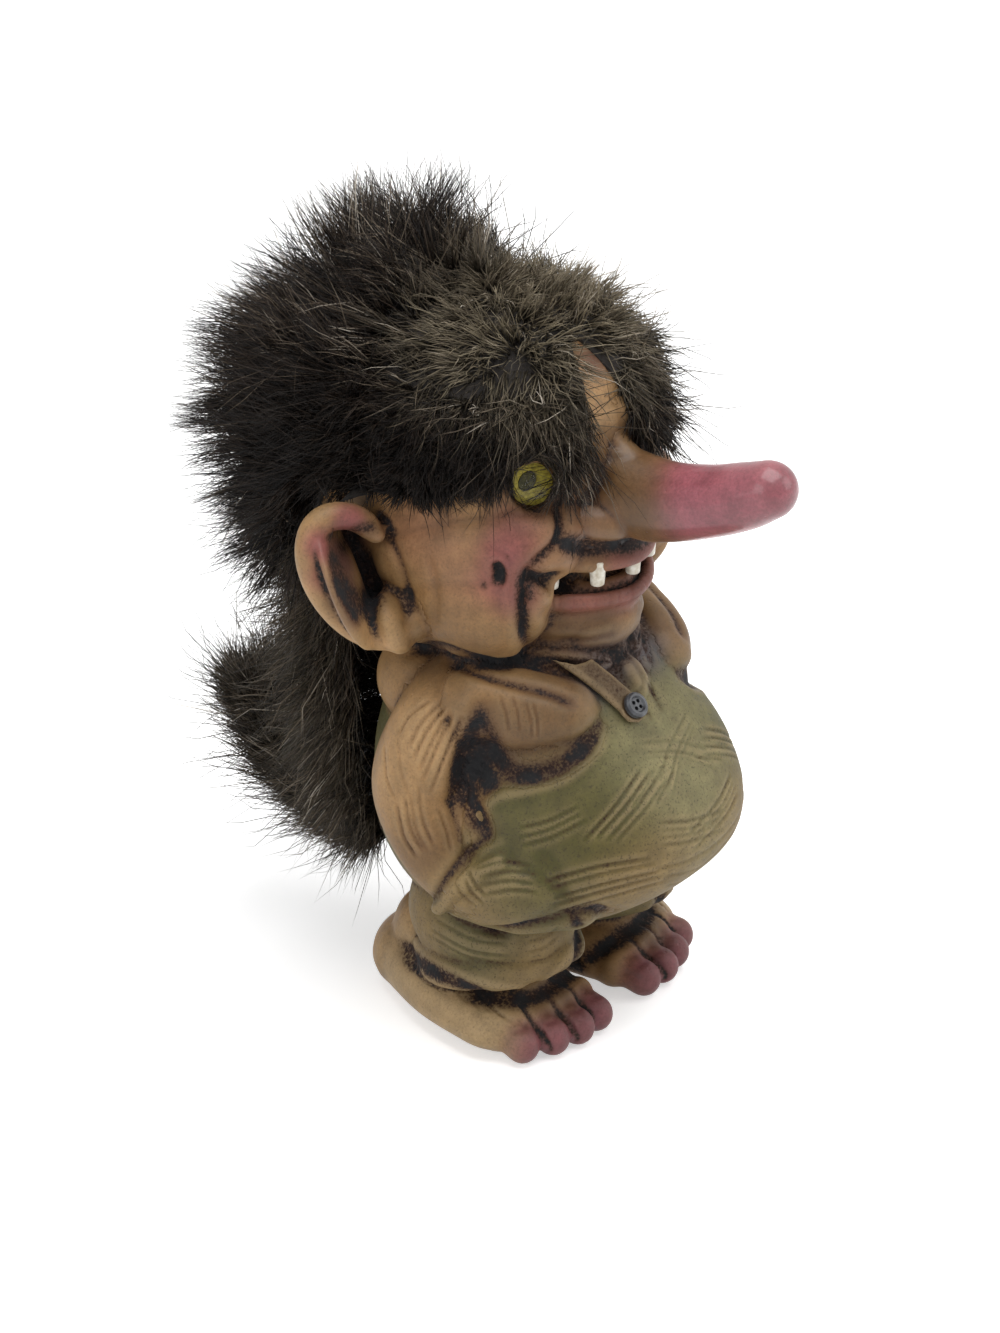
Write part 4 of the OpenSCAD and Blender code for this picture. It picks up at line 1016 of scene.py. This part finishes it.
def plain_paint(name, code, other, roughness, scale, relief):
    """A finish of one colour, with a second tone mottled into it and a relief in millimetres."""
    material, tree, shader = new_material(name)
    where = add_node(tree, "ShaderNodeTexCoord").outputs["Object"]
    mottles = add_node(tree, "ShaderNodeTexNoise", {"Vector": where, "Scale": scale, "Detail": 4.0})
    noise = mottles.outputs["Fac"]
    spread = add_node(tree, "ShaderNodeMapRange", {0: noise, 1: 0.35, 2: 0.65}).outputs[0]
    tone = add_node(tree, "ShaderNodeMix", {0: spread, 6: code, 7: other}, data_type="RGBA").outputs[2]
    tree.links.new(tone, shader.inputs["Base Color"])
    shader.inputs["Roughness"].default_value = roughness
    bump = add_node(tree, "ShaderNodeBump", {"Height": noise, "Strength": 0.5, "Distance": relief * MM})
    tree.links.new(bump.outputs[0], shader.inputs["Normal"])
    return material


def eye_material():
    """Clear glass dome. Real glass bends light more, and would hide the painted ring from the side."""
    material, _, shader = new_material("clear_eye_glass")
    shader.inputs["Base Color"].default_value = linear("#fdf7dc") + [1]
    shader.inputs["Roughness"].default_value = 0.02
    shader.inputs["IOR"].default_value = 1.25
    shader.inputs["Transmission Weight"].default_value = 1.0
    return material


def dress(names, material):
    """Gives one material to CAD nodes that are shown as they are."""
    for name in names:
        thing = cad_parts[name]
        if not thing.material_slots:
            thing.data.materials.append(material)
        for slot in thing.material_slots:
            slot.material = material


def make_eye_glass(side):
    """Smooth dome of glass with a flat back, where its CAD node is."""
    middle, radius, gaze = eye_place(side)
    middle, gaze = Vector(middle), Vector(gaze)
    turn = math.copysign(GAZE_TURN, gaze.x)
    bpy.ops.object.select_all(action="DESELECT")
    bpy.ops.mesh.primitive_uv_sphere_add(segments=48, ring_count=32, radius=radius, location=middle,
                                         rotation=(math.pi / 2, 0, turn))
    dome = bpy.context.object
    dome.name = dome.data.name = "eye_dome_" + side
    bpy.ops.object.transform_apply(location=True, rotation=True, scale=True)
    back = middle - gaze * GLASS_BACK * MM
    bpy.ops.object.mode_set(mode="EDIT")
    bpy.ops.mesh.bisect(plane_co=back, plane_no=gaze, use_fill=True, clear_inner=True)
    bpy.ops.object.mode_set(mode="OBJECT")
    bpy.ops.object.shade_smooth_by_angle(angle=math.radians(40))
    dome.data.materials.clear()
    dome.data.materials.append(eye_glass)
    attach(dome, "root")
    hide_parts("eye_glass_" + side)


eye_glass = eye_material()
for side in ("right", "left"):
    make_eye_glass(side)
# Nodes shown as they are: their material, two tones, roughness, mottles to the metre and relief
SHOWN_NODES = [
    # gloss enamel behind the glass: a yellow ring with an olive middle
    (["eye_iris_right", "eye_iris_left"], "amber_iris_paint", "#bdb046", "#857a30", 0.3, 2500.0, 0.05),
    (["eye_pupil_right", "eye_pupil_left"], "olive_pupil_paint", "#4c4b24", "#24241a", 0.25, 2500.0, 0.02),
    # bare wire and raw foam, inside the head and body
    (["eye_shank_right", "eye_shank_left"], "steel_eye_wire", "#8b8b8c", "#6f7072", 0.35, 1500.0, 0.02),
    (["foam_core"], "polyurethane_foam", "#d8c58e", "#b9a066", 0.9, 900.0, 0.5),
    # brushed brown latex, and a grey button with a soft shine
    (["tail_stem"], "latex_tail_paint", "#5a4733", "#35291f", 0.6, 600.0, 0.2),
    (["strap_button"], "painted_button", "#4a4c50", "#23242a", 0.35, 900.0, 0.1),
]
for names, *finish in SHOWN_NODES:
    dress(names, plain_paint(*finish))


def rounded_copy(node, name, voxel, rubs):
    """A rubbed down copy of a CAD node, with its edges rounded as in a casting."""
    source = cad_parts[node]
    thing = new_object(name, source.data.copy())
    thing.matrix_world = source.matrix_world
    thing.data.materials.clear()
    one_skin(thing, voxel, rubs)
    thing.data.shade_smooth()
    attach(thing, "root")
    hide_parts(node)
    return thing


def make_strap():
    """The shoulder strap, in the paint of the overalls, washed dark, with painted shade in its hollows
    and ridges paler where rubbed and as painted highlight.
    """
    strap = rounded_copy("shoulder_strap", "cast_strap", 0.25, 8)
    hollow = hollowness(strap, 8)
    # a dark wash all over, deeper in the hollows as painted shade, and ridges paler as worn paint and painted
    # highlight
    wash = np.clip(0.42 + hollow * 5, 0, 1)
    worn_and_lit = np.clip(-hollow * 5, 0, 1)
    one = np.ones(len(hollow))
    paint_layer(strap, "paint", [np.tile(linear("#6c5a42"), (len(hollow), 1)), one])
    paint_layer(strap, "wash", [wash, worn_and_lit, 0 * one, one])
    strap.data.materials.append(latex["painted_overalls"])


def make_teeth():
    """The teeth, a little fuller than their node and set back under the lip, in shiny cream enamel."""
    teeth = rounded_copy("teeth", "cast_teeth", 0.15, 26)
    fuller, back = 0.1, np.array([0, 1.0, 0])
    set_points(teeth, points_of(teeth) + normals_of(teeth) * fuller + back)
    teeth.data.materials.append(plain_paint("tooth_enamel_paint", "#e6e2d6", "#b9ad96", 0.3, 900.0, 0.1))


make_strap()
make_teeth()


# Fur

# Long straight pile on a knitted backing. Each strand is a thin three sided spike, drawn to
# 0.2 mm at its root so that it shows, where the real one is about half of that.
STRAND_R = 0.1
STRANDS = 11000
# Longest strand, and how far back and how low any strand may reach
LONGEST = 23
BACK_END = 69.0
FLOOR_GAP = 0.4
# Points of one strand: three rings of three, and its tip
STRAND_POINTS = 10
# Room that the fur leaves round each eye, and where the eyes are. EYE_VIEW is the way in which the left
# eye is kept free. Mirrored, it runs from the right eye to the camera.
EYE_ROOM = 3.7
EYE_VIEW = (0.66, -0.64, 0.38)
EYES = [np.array([side * 15.0, -16.0, 99.5]) for side in (-1, 1)]
# Heights of the backing's top ring and of the highest root, how far down the roots may lie from that,
# and how far the backing's outer face and its inner one stand off the skin
CROWN = 123.8
HIGHEST_ROOT = 123.9
ROOTS_TALL = 47
BACKING_FACES = (0.85, 0.1)
# Strands start ROOT_OUT off the skin, which is looked for from PROBE_FROM outside, over PROBE_WAY.
ROOT_OUT = 0.9
PROBE_FROM = 7
PROBE_WAY = 12
# How many roots are tried at a time
BATCH = 40000
# The mane's lowest root, its height, middle, half width and reach, and its length
MANE_LOW = 22
MANE_TALL = 62
MANE_Y = 19
MANE_HALF = 13.5
MANE_REACH = 13
MANE_LENGTH = 16
# The stem of the tail, how far off its middle the tuft grows, and the tuft's length
TAIL_PATH = [(0, 25, 21), (0, 34.2, 21), (0, 43.8, 26), (0, 50, 34), (0, 52.5, 40)]
TAIL_R = 1.8
TAIL_LENGTH = 11.5


def hairline(angle):
    """Height of the lower edge of the wig at an angle round the head, the figure's right below 0."""
    angles = (-180, -130, -114, -94, -80, -66, -56, -46, -36, -24, -18, -13, -8, 0, 3, 5, 24, 36, 46, 56,
              66, 80, 94, 114, 130, 180)
    heights = (77, 82, 93, 96, 97.5, 99, 101, 104, 104.5, 101, 105, 112, 117.5, 118, 112, 104, 101, 104.5,
               104, 101, 99, 97.5, 96, 95, 82, 77)
    return np.interp(angle, angles, heights)


SKULL = np.array(HEAD_ROWS + [(124, HEAD_Y, 0, 0, 0)])


def on_skull(angle, z, out=1.0):
    """Point near the skull, at an angle round the head and a height, raised by out."""
    a = np.radians(angle)
    half, front, back = (np.interp(z, SKULL[:, 0], SKULL[:, k]) + out for k in (2, 3, 4))
    reach = np.where(np.cos(a) > 0, front, back)
    return np.stack([half * squared(np.sin(a)), HEAD_Y - reach * squared(np.cos(a)), z], -1)


def on_scalp(angle, z, out):
    """Points on the skin of the head, raised by out, and the directions that they face."""
    points = on_skull(angle, z, 0)
    normals = surface_normals(on_skull, angle, z)
    for i, (point, normal) in enumerate(zip(points, normals)):
        start = to_metres(point + normal * PROBE_FROM)
        hit = skin_tree.ray_cast(start, Vector(-normal), PROBE_WAY * MM)[0]
        if hit is not None:
            points[i] = to_mm(hit)
    return points + normals * out, normals


def surface_normals(at, u, v, step=0.5):
    """Outward normals of a surface given by a function of two values."""
    du = at(u + step, v) - at(u - step, v)
    dv = at(u, v + step) - at(u, v - step)
    return unit_rows(np.cross(du, dv))


def unit_rows(v):
    return v / np.maximum(np.linalg.norm(v, axis=-1, keepdims=True), 1e-9)


def blend_rows(amount, a, b):
    """Rows of a where amount is 0, of b where it is 1."""
    amount = np.asarray(amount)[:, None]
    return a * (1 - amount) + b * amount


def step_up(value, low, high):
    return np.clip((value - low) / (high - low), 0, 1)


def clear_of_eyes(path, rng):
    """Parts the fur in front of the eyes, each strand to the side of the eye where it grows."""
    for eye in EYES:
        look = unit_rows(np.array(EYE_VIEW) * [np.sign(eye[0]), 1, 1])
        across = unit_rows(np.cross(look, (0, 0, 1.0)))
        above = np.cross(across, look)
        away = path - eye
        along, side, rise = away @ look, away @ across, away @ above
        lean = side[:, :1] + rng.normal(0, 0.6, (len(path), 1))
        room = np.sqrt(np.maximum(EYE_ROOM ** 2 - np.minimum(rise, 0.6) ** 2, 0)) * (rise < EYE_ROOM)
        shut = (np.abs(side) < room) & (along > -1.5) & (along < 16)
        path = path + np.where(shut, np.where(lean < 0, -room, room) - side, 0)[..., None] * across
    return path


def strand_paths(roots, starts, combs, lengths, leaders, lock, stray, rng, mess, gather):
    """Four points of each strand. It leaves its root along starts, turns to combs, and joins its lock."""
    count = len(roots)
    tilt = rng.normal(0, mess, (len(leaders), 3))[lock]
    tilt += rng.normal(0, 0.3, (count, 3))
    tilt[stray] += rng.normal(0, 0.4, (int(stray.sum()), 3))
    starts = unit_rows(starts + tilt * 0.7)
    combs = unit_rows(combs + tilt)
    lengths = lengths * rng.uniform(0.72, 1.1, len(leaders))[lock] * rng.uniform(0.55, 1.08, count)
    lengths = np.minimum(lengths * np.where(stray, 1.9, 1.0), LONGEST)[:, None, None]
    t = np.array([0.0, 0.34, 0.7, 1.0])[None, :, None]
    bends = rng.uniform(0.5, 1.5, (count, 1, 1))
    path = roots[:, None, :] + lengths * (
        t * (1 - 0.5 * bends * t) * starts[:, None, :] + 0.5 * bends * t * t * combs[:, None, :])
    gather = np.broadcast_to(gather, count)[:, None, None]
    pull = gather * rng.uniform(0.3, 1.0, (count, 1, 1)) * t * ~stray[:, None, None]
    path = path * (1 - pull) + path[leaders[lock]] * pull
    path[:, 1:] += rng.normal(0, 0.42, (count, 3, 3)) * t[:, 1:] * (lengths / 12)
    path = clear_of_eyes(path, rng)
    path[..., 2] = np.maximum(path[..., 2], FLOOR_GAP)
    path[..., 1] = np.minimum(path[..., 1], BACK_END)
    return path


def strand_points(path, stray, rng):
    """Points of each strand: a ring of three at its root and at two places along it, and its tip."""
    count = len(path)
    way = unit_rows(np.gradient(path, axis=1))
    side = unit_rows(np.cross(way, rng.normal(size=(count, 1, 3))))
    other = np.cross(way, side)
    thick = rng.uniform(0.7, 1.25, count) * np.where(stray, 0.75, 1)
    radius = STRAND_R * np.array([1.0, 0.95, 0.7])[None, :] * thick[:, None]
    turns = np.radians([0, 120, 240])[:, None]
    around = side[:, :3, None, :] * np.cos(turns) + other[:, :3, None, :] * np.sin(turns)
    rings = path[:, :3, None, :] + radius[:, :, None, None] * around
    return np.concatenate([rings.reshape(count, 9, 3), path[:, 3:4]], 1)


def strands_object(name, points):
    """One smooth object of strands, with six four sided faces, three at the tip and one at the root."""
    count = len(points)
    quads = [(k + i, k + (i + 1) % 3, k + 3 + (i + 1) % 3, k + 3 + i) for k in (0, 3) for i in range(3)]
    ends = [(6 + i, 6 + (i + 1) % 3, 9) for i in range(3)] + [(2, 1, 0)]
    base = (np.arange(count) * STRAND_POINTS)[:, None, None]
    corners = [(base + np.array(faces)).reshape(count, -1) for faces in (quads, ends)]
    corners = np.concatenate(corners, 1).ravel()
    sizes = np.tile([4] * len(quads) + [3] * len(ends), count)
    data = bpy.data.meshes.new(name)
    data.vertices.add(count * STRAND_POINTS)
    data.vertices.foreach_set("co", in_metres(points.reshape(-1, 3)).ravel())
    data.loops.add(len(corners))
    data.loops.foreach_set("vertex_index", corners)
    data.polygons.add(len(sizes))
    data.polygons.foreach_set("loop_start", np.concatenate([[0], np.cumsum(sizes)[:-1]]))
    data.update(calc_edges=True)
    data.validate()
    data.shade_smooth()
    return new_object(name, data)


def strands(name, roots, starts, combs, lengths, rng, olive, mess=0.3, gather=0.5, clump=18):
    """One object of strands in locks, with about clump strands to a lock."""
    count = len(roots)
    leaders = rng.choice(count, max(count // clump, 4), replace=False)
    finder = point_finder(roots[leaders])
    lock = np.array([finder.find(p)[1] for p in roots])
    stray = rng.random(count) < 0.1
    path = strand_paths(roots, starts, combs, lengths, leaders, lock, stray, rng, mess, gather)
    thing = strands_object(name, strand_points(path, stray, rng))
    # the tone of each strand, how far along it a point lies, and how dusty and olive it is, where
    # less than 0 is darker. On the head the dust is partly painted light from above, and the dark
    # below 0 is painted shade on the sides.
    tone = np.clip(rng.random(count) * 0.8 + rng.random(len(leaders))[lock] * 0.25 - 0.02, 0, 1)
    tone = np.repeat(tone, STRAND_POINTS) * np.repeat(1 + np.minimum(olive, 0), STRAND_POINTS)
    along = np.tile([0] * 3 + [0.34] * 3 + [0.7] * 3 + [1.0], count)
    paint_layer(thing, "strand", [tone, along, np.repeat(olive, STRAND_POINTS), np.ones(len(tone))])
    return thing


def comb_head(points, angle, z):
    """Direction in which the fur of the head is combed, its length, its steepness and how it gathers."""
    side = np.abs(angle)
    away = np.stack([np.sign(points[:, 0]), np.zeros(len(z)), np.zeros(len(z))], 1)
    aft = np.array([0, 1.0, 0])
    up = np.array([0, 0, 1.0])
    # from the front round to the back: down over the brow, down before the ear, over the ear, swept back
    brow = -1.0 * up + 0.06 * aft + 0.1 * away
    temple = -0.85 * up - 0.2 * aft + 0.06 * away
    over_ear = 0.8 * aft + 0.05 * up + 0.35 * away
    nape_low = 0.75 * aft - 0.6 * up + 0.12 * away
    nape = blend_rows(step_up(z, 84, 96), nape_low, 0.95 * aft - 0.1 * up + 0.14 * away)
    combs = blend_rows(step_up(side, 48, 60), brow, temple)
    combs = blend_rows(step_up(side, 78, 92), combs, over_ear)
    combs = blend_rows(step_up(side, 98, 122), combs, nape)
    # above: forward in front, and back behind the crown
    front = -0.25 * aft + 0.3 * up + 0.1 * away
    flank = 0.35 * aft - 0.15 * up + 0.35 * away
    behind = 0.9 * aft + 0.3 * up + 0.15 * away
    above = blend_rows(step_up(side, 30, 75), front, flank)
    above = blend_rows(step_up(side, 85, 130), above, behind)
    high = step_up(z, 104 + 7 * step_up(60 - side, 0, 20), 119)
    combs = blend_rows(high, combs, above)
    tuft = step_up(8.5 - np.hypot(points[:, 0] + 2, points[:, 1] - 21), 0, 4) * step_up(z, 108, 113)
    combs = blend_rows(tuft, combs, 0.12 * aft + up + 0 * away)
    rear = step_up(side, 96, 150)
    top = step_up(z, 108, 117) * (1 - tuft)
    lengths = (9.5 + 13.5 * rear) * (1 - 0.08 * top) + 8 * tuft
    lengths += 2.5 * np.exp(-((side - 26) / 6) ** 2) * step_up(110 - z, 0, 4)
    lengths *= 1 - 0.45 * np.exp(-((side - 38) / 9) ** 2) * step_up(112 - z, 0, 5)
    lengths -= 5 * step_up(side, 50, 60) * step_up(100 - side, 0, 10) * (1 - high)
    lengths *= 1 - 0.25 * step_up(z, 118, 122) * (1 - tuft)
    steep = 0.04 + 0.45 * high + 0.42 * step_up(side, 76, 100) + 0.5 * tuft
    gather = 0.35 + 0.5 * np.maximum(rear, tuft)
    return unit_rows(combs), lengths, steep, gather


def head_fur(name, seed, clump, angles, heights):
    """Fur of the head between two angles and two heights, above the hairline."""
    rng = np.random.default_rng(seed)
    roots = []
    while sum(len(r) for r in roots) < STRANDS:
        angle = rng.uniform(-180, 180, BATCH)
        z = HIGHEST_ROOT - ROOTS_TALL * rng.random(BATCH) ** 1.25
        good = z > hairline(angle) + rng.exponential(0.6, BATCH)
        good &= (angle > angles[0]) & (angle < angles[1]) & (z > heights[0]) & (z < heights[1])
        roots.append(np.stack([angle[good], z[good]], 1))
    angle, z = np.concatenate(roots)[:STRANDS].T
    points, normals = on_scalp(angle, z, ROOT_OUT)
    combs, lengths, steep, gather = comb_head(points, angle, z)
    starts = unit_rows(normals * steep[:, None] + combs * 0.6 + rng.normal(0, 0.2, points.shape))
    # dusty olive on the front of the crown: matted fibre, and painted light from above
    olive = step_up(z, 108, 118) * step_up(10 - points[:, 1], 0, 14) * rng.uniform(0.2, 1, STRANDS)
    # painted shade on the sides of the head, below the crown
    temple = step_up(np.abs(angle), 36, 60) * step_up(116 - z, 0, 8) * step_up(150 - np.abs(angle), 0, 30)
    olive -= 0.28 * temple
    return strands(name, points, starts, combs, lengths, rng, olive, mess=0.5, gather=gather, clump=clump)


def mane_fur(name, seed, side):
    """The mane, on one side of the back from the nape to the seat."""
    rng = np.random.default_rng(seed)
    angle = rng.uniform(92, 180, STRANDS) * side
    z = MANE_LOW + MANE_TALL * rng.random(STRANDS) ** 0.85
    # height, and shares of the half width and of the reach there
    rows = np.array([(20, 0.35, 0.25), (32, 0.7, 0.56), (47, 0.95, 0.8), (62, 1, 0.86), (84, 1.05, 0.9)])
    a = np.radians(angle)
    half = MANE_HALF * np.interp(z, rows[:, 0], rows[:, 1])
    reach = MANE_REACH * np.interp(z, rows[:, 0], rows[:, 2])
    points = np.stack([half * squared(np.sin(a)), MANE_Y - reach * squared(np.cos(a)), z], -1)
    normals = np.stack([np.sin(a), -np.cos(a), np.zeros(STRANDS)], 1)
    combs = unit_rows(np.stack([0.25 * np.sin(a), 0.3 - 0.25 * np.cos(a), np.full(STRANDS, -0.9)], 1))
    starts = unit_rows(normals * 1.0 + combs * 0.4 + rng.normal(0, 0.2, points.shape))
    lengths = MANE_LENGTH * np.interp(z, (20, 40, 84), (0.6, 0.95, 0.9))
    return strands(name, points, starts, combs, lengths, rng, rng.uniform(0, 0.25, STRANDS))


def tail_fur(name, seed):
    """The tuft, all round the stem of the tail."""
    rng = np.random.default_rng(seed)
    rows = smooth_curve(TAIL_PATH, 201)
    spot = (rng.random(STRANDS) ** 0.9 * 199).astype(int)
    middle = rows[spot]
    way = unit_rows(rows[spot + 1] - rows[spot])
    turn = rng.uniform(0, 2 * math.pi, STRANDS)
    across = np.array([[1.0, 0, 0]])
    out = across * np.cos(turn)[:, None] + np.cross(way, across) * np.sin(turn)[:, None]
    points = middle + out * TAIL_R
    combs = unit_rows(way * 1.0 + np.array([0, 0.12, 0.1]))
    starts = unit_rows(out * 0.85 + way * 0.65 + rng.normal(0, 0.18, out.shape))
    lengths = np.full(STRANDS, TAIL_LENGTH)
    return strands(name, points, starts, combs, lengths, rng, rng.uniform(0, 0.2, STRANDS))


def fur_material():
    """Acrylic pile: brown black, with single pale strands as painted glints, dust and matting in front
    that are partly painted light, and roots darker as painted shade.
    """
    material, tree, shader = new_material("acrylic_pile")
    strand = add_node(tree, "ShaderNodeVertexColor", layer_name="strand")
    parts = add_node(tree, "ShaderNodeSeparateColor", {0: strand.outputs["Color"]})
    tone = add_node(tree, "ShaderNodeValToRGB", {0: parts.outputs[0]})
    ramp = tone.color_ramp
    ramp.elements[0].color = linear("#080605") + [1]
    # the palest tones are single pale strands, which stand in for glints as painted highlight
    ramp.elements[1].color = linear("#d2c8ba") + [1]
    for place, code in ((0.42, "#16110e"), (0.74, "#372d25"), (0.91, "#75695a")):
        ramp.elements.new(place).color = linear(code) + [1]
    # each strand darker towards its root, as painted shade deep in the pile
    root = add_node(tree, "ShaderNodeMapRange", {0: parts.outputs[1], 1: 0.0, 2: 0.6, 3: 0.2, 4: 1.0})
    # dusty tone in front and on top: matted fibre, and painted light from above
    dusty_and_lit = add_node(tree, "ShaderNodeMath", {0: parts.outputs[2], 1: 0.75}, operation="MULTIPLY").outputs[0]
    dust = {0: dusty_and_lit, 6: tone.outputs[0], 7: "#a4977e"}
    matted_and_lit = add_node(tree, "ShaderNodeMix", dust, data_type="RGBA").outputs[2]
    shade = add_node(tree, "ShaderNodeVectorMath", {0: matted_and_lit, "Scale": root.outputs[0]}, operation="SCALE")
    tree.links.new(shade.outputs[0], shader.inputs["Base Color"])
    shader.inputs["Roughness"].default_value = 0.4
    shader.inputs["Specular IOR Level"].default_value = 0.16
    return material


def make_backing():
    """The knitted backing that the pile is set in: a thin cap over the skull, down to the hairline."""
    angles = np.arange(-180, 180, 3.0)
    shares = np.linspace(0, 1, 24)
    layers = []
    for out in BACKING_FACES:
        rings = [on_scalp(angles, hairline(angles) * (1 - t) + CROWN * t, out)[0] for t in shares]
        layers.append(np.concatenate(rings))
    n, rings = len(angles), len(shares)
    size = n * rings
    faces = []
    for k in range(rings - 1):
        for i in range(n):
            a, b = k * n + i, k * n + (i + 1) % n
            c, d = b + n, a + n
            faces += [(a, b, c, d), (size + d, size + c, size + b, size + a)]
    for i in range(n):
        a, b = i, (i + 1) % n
        faces.append((b, a, size + a, size + b))
    faces.append(tuple((rings - 1) * n + i for i in range(n)))
    faces.append(tuple(size + (rings - 1) * n + i for i in range(n))[::-1])
    backing = mesh_object("knitted_backing", np.concatenate(layers), faces)
    # the backing is near black as painted shade deep in the pile
    backing.data.materials.append(plain_paint("fur_backing_painted_shade", "#14100e", "#221c18", 0.9, 900.0, 0.3))
    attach(backing, "root")
    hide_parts("wig_backing")


# Pieces of fur, the nodes that they replace, and how each is made. A piece of the head has a random
# seed, strands to a lock, its angles and its heights, and one of the mane a seed and a side.
FUR = [
    ("fur_crown", "hair_crown", head_fur, 3, 34, (-181, 181), (110, 130)),
    ("fur_fringe_right", "hair_fringe_right", head_fur, 5, 16, (-105, 0), (0, 113)),
    ("fur_fringe_left", "hair_fringe_left", head_fur, 7, 16, (0, 105), (0, 113)),
    ("fur_back_right", "hair_back", head_fur, 11, 60, (-181, -95), (0, 114)),
    ("fur_back_left", "hair_back", head_fur, 13, 60, (95, 181), (0, 114)),
    ("fur_mane_right", "hair_mane", mane_fur, 17, -1),
    ("fur_mane_left", "hair_mane", mane_fur, 19, 1),
    ("fur_tail", "tail_tuft", tail_fur, 23),
]


def make_fur():
    """The backing and all the pieces of fur on it."""
    make_backing()
    pile = fur_material()
    for name, node, make, *settings in FUR:
        piece = make(name, *settings)
        piece.data.materials.append(pile)
        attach(piece, "root")
        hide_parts(node)


make_fur()


# Stage and light


def seen_directly(tree):
    """1 for what the camera sees, also in gloss and through glass, and 0 for the light on the figure."""
    path = add_node(tree, "ShaderNodeLightPath").outputs
    seen = path["Is Camera Ray"]
    for ray in ("Is Glossy Ray", "Is Transmission Ray"):
        seen = add_node(tree, "ShaderNodeMath", {0: seen, 1: path[ray]}, operation="MAXIMUM").outputs[0]
    return seen


def make_stage():
    """White paper that the camera sees as white, with the figure's shadow kept on it."""
    bpy.ops.mesh.primitive_plane_add(size=6)
    floor = bpy.context.object
    floor.name = "floor"
    material, tree, shader = new_material("paper_floor")
    shader.inputs["Base Color"].default_value = linear("#f2f2f2") + [1]
    shader.inputs["Roughness"].default_value = 0.9
    shader.inputs["Emission Color"].default_value = (1, 1, 1, 1)
    glow = add_node(tree, "ShaderNodeMath", {0: seen_directly(tree), 1: 0.5}, operation="MULTIPLY").outputs[0]
    tree.links.new(glow, shader.inputs["Emission Strength"])
    floor.data.materials.append(material)


def make_world():
    """A room that the camera sees as white, and that lights the figure at a plain level."""
    world = bpy.data.worlds.new("studio")
    bpy.context.scene.world = world
    world.use_nodes = True
    tree = world.node_tree
    sky = tree.nodes["Background"]
    strength = add_node(tree, "ShaderNodeMapRange", {0: seen_directly(tree), 3: 0.36, 4: 1.0}).outputs[0]
    tree.links.new(strength, sky.inputs["Strength"])
    sky.inputs["Color"].default_value = (1, 1, 1, 1)


def area_lamp(name, place, size, power):
    """A soft lamp that looks at the middle of the figure. Places and sizes are in metres."""
    data = bpy.data.lights.new(name, "AREA")
    data.size = size
    data.energy = power
    lamp = new_object(name, data)
    lamp.location = place
    lamp.rotation_euler = (Vector(FIGURE_MIDDLE) - Vector(place)).to_track_quat("-Z", "Y").to_euler()


FIGURE_MIDDLE = (0, 0, 0.07)
make_stage()
area_lamp("top", (0.0, -0.15, 0.9), 0.8, 8)
area_lamp("front", (0.5, -0.8, 0.5), 0.6, 2.5)
area_lamp("side", (-0.9, 0.1, 0.45), 0.6, 2.5)
make_world()
bpy.context.scene.view_settings.view_transform = "Standard"
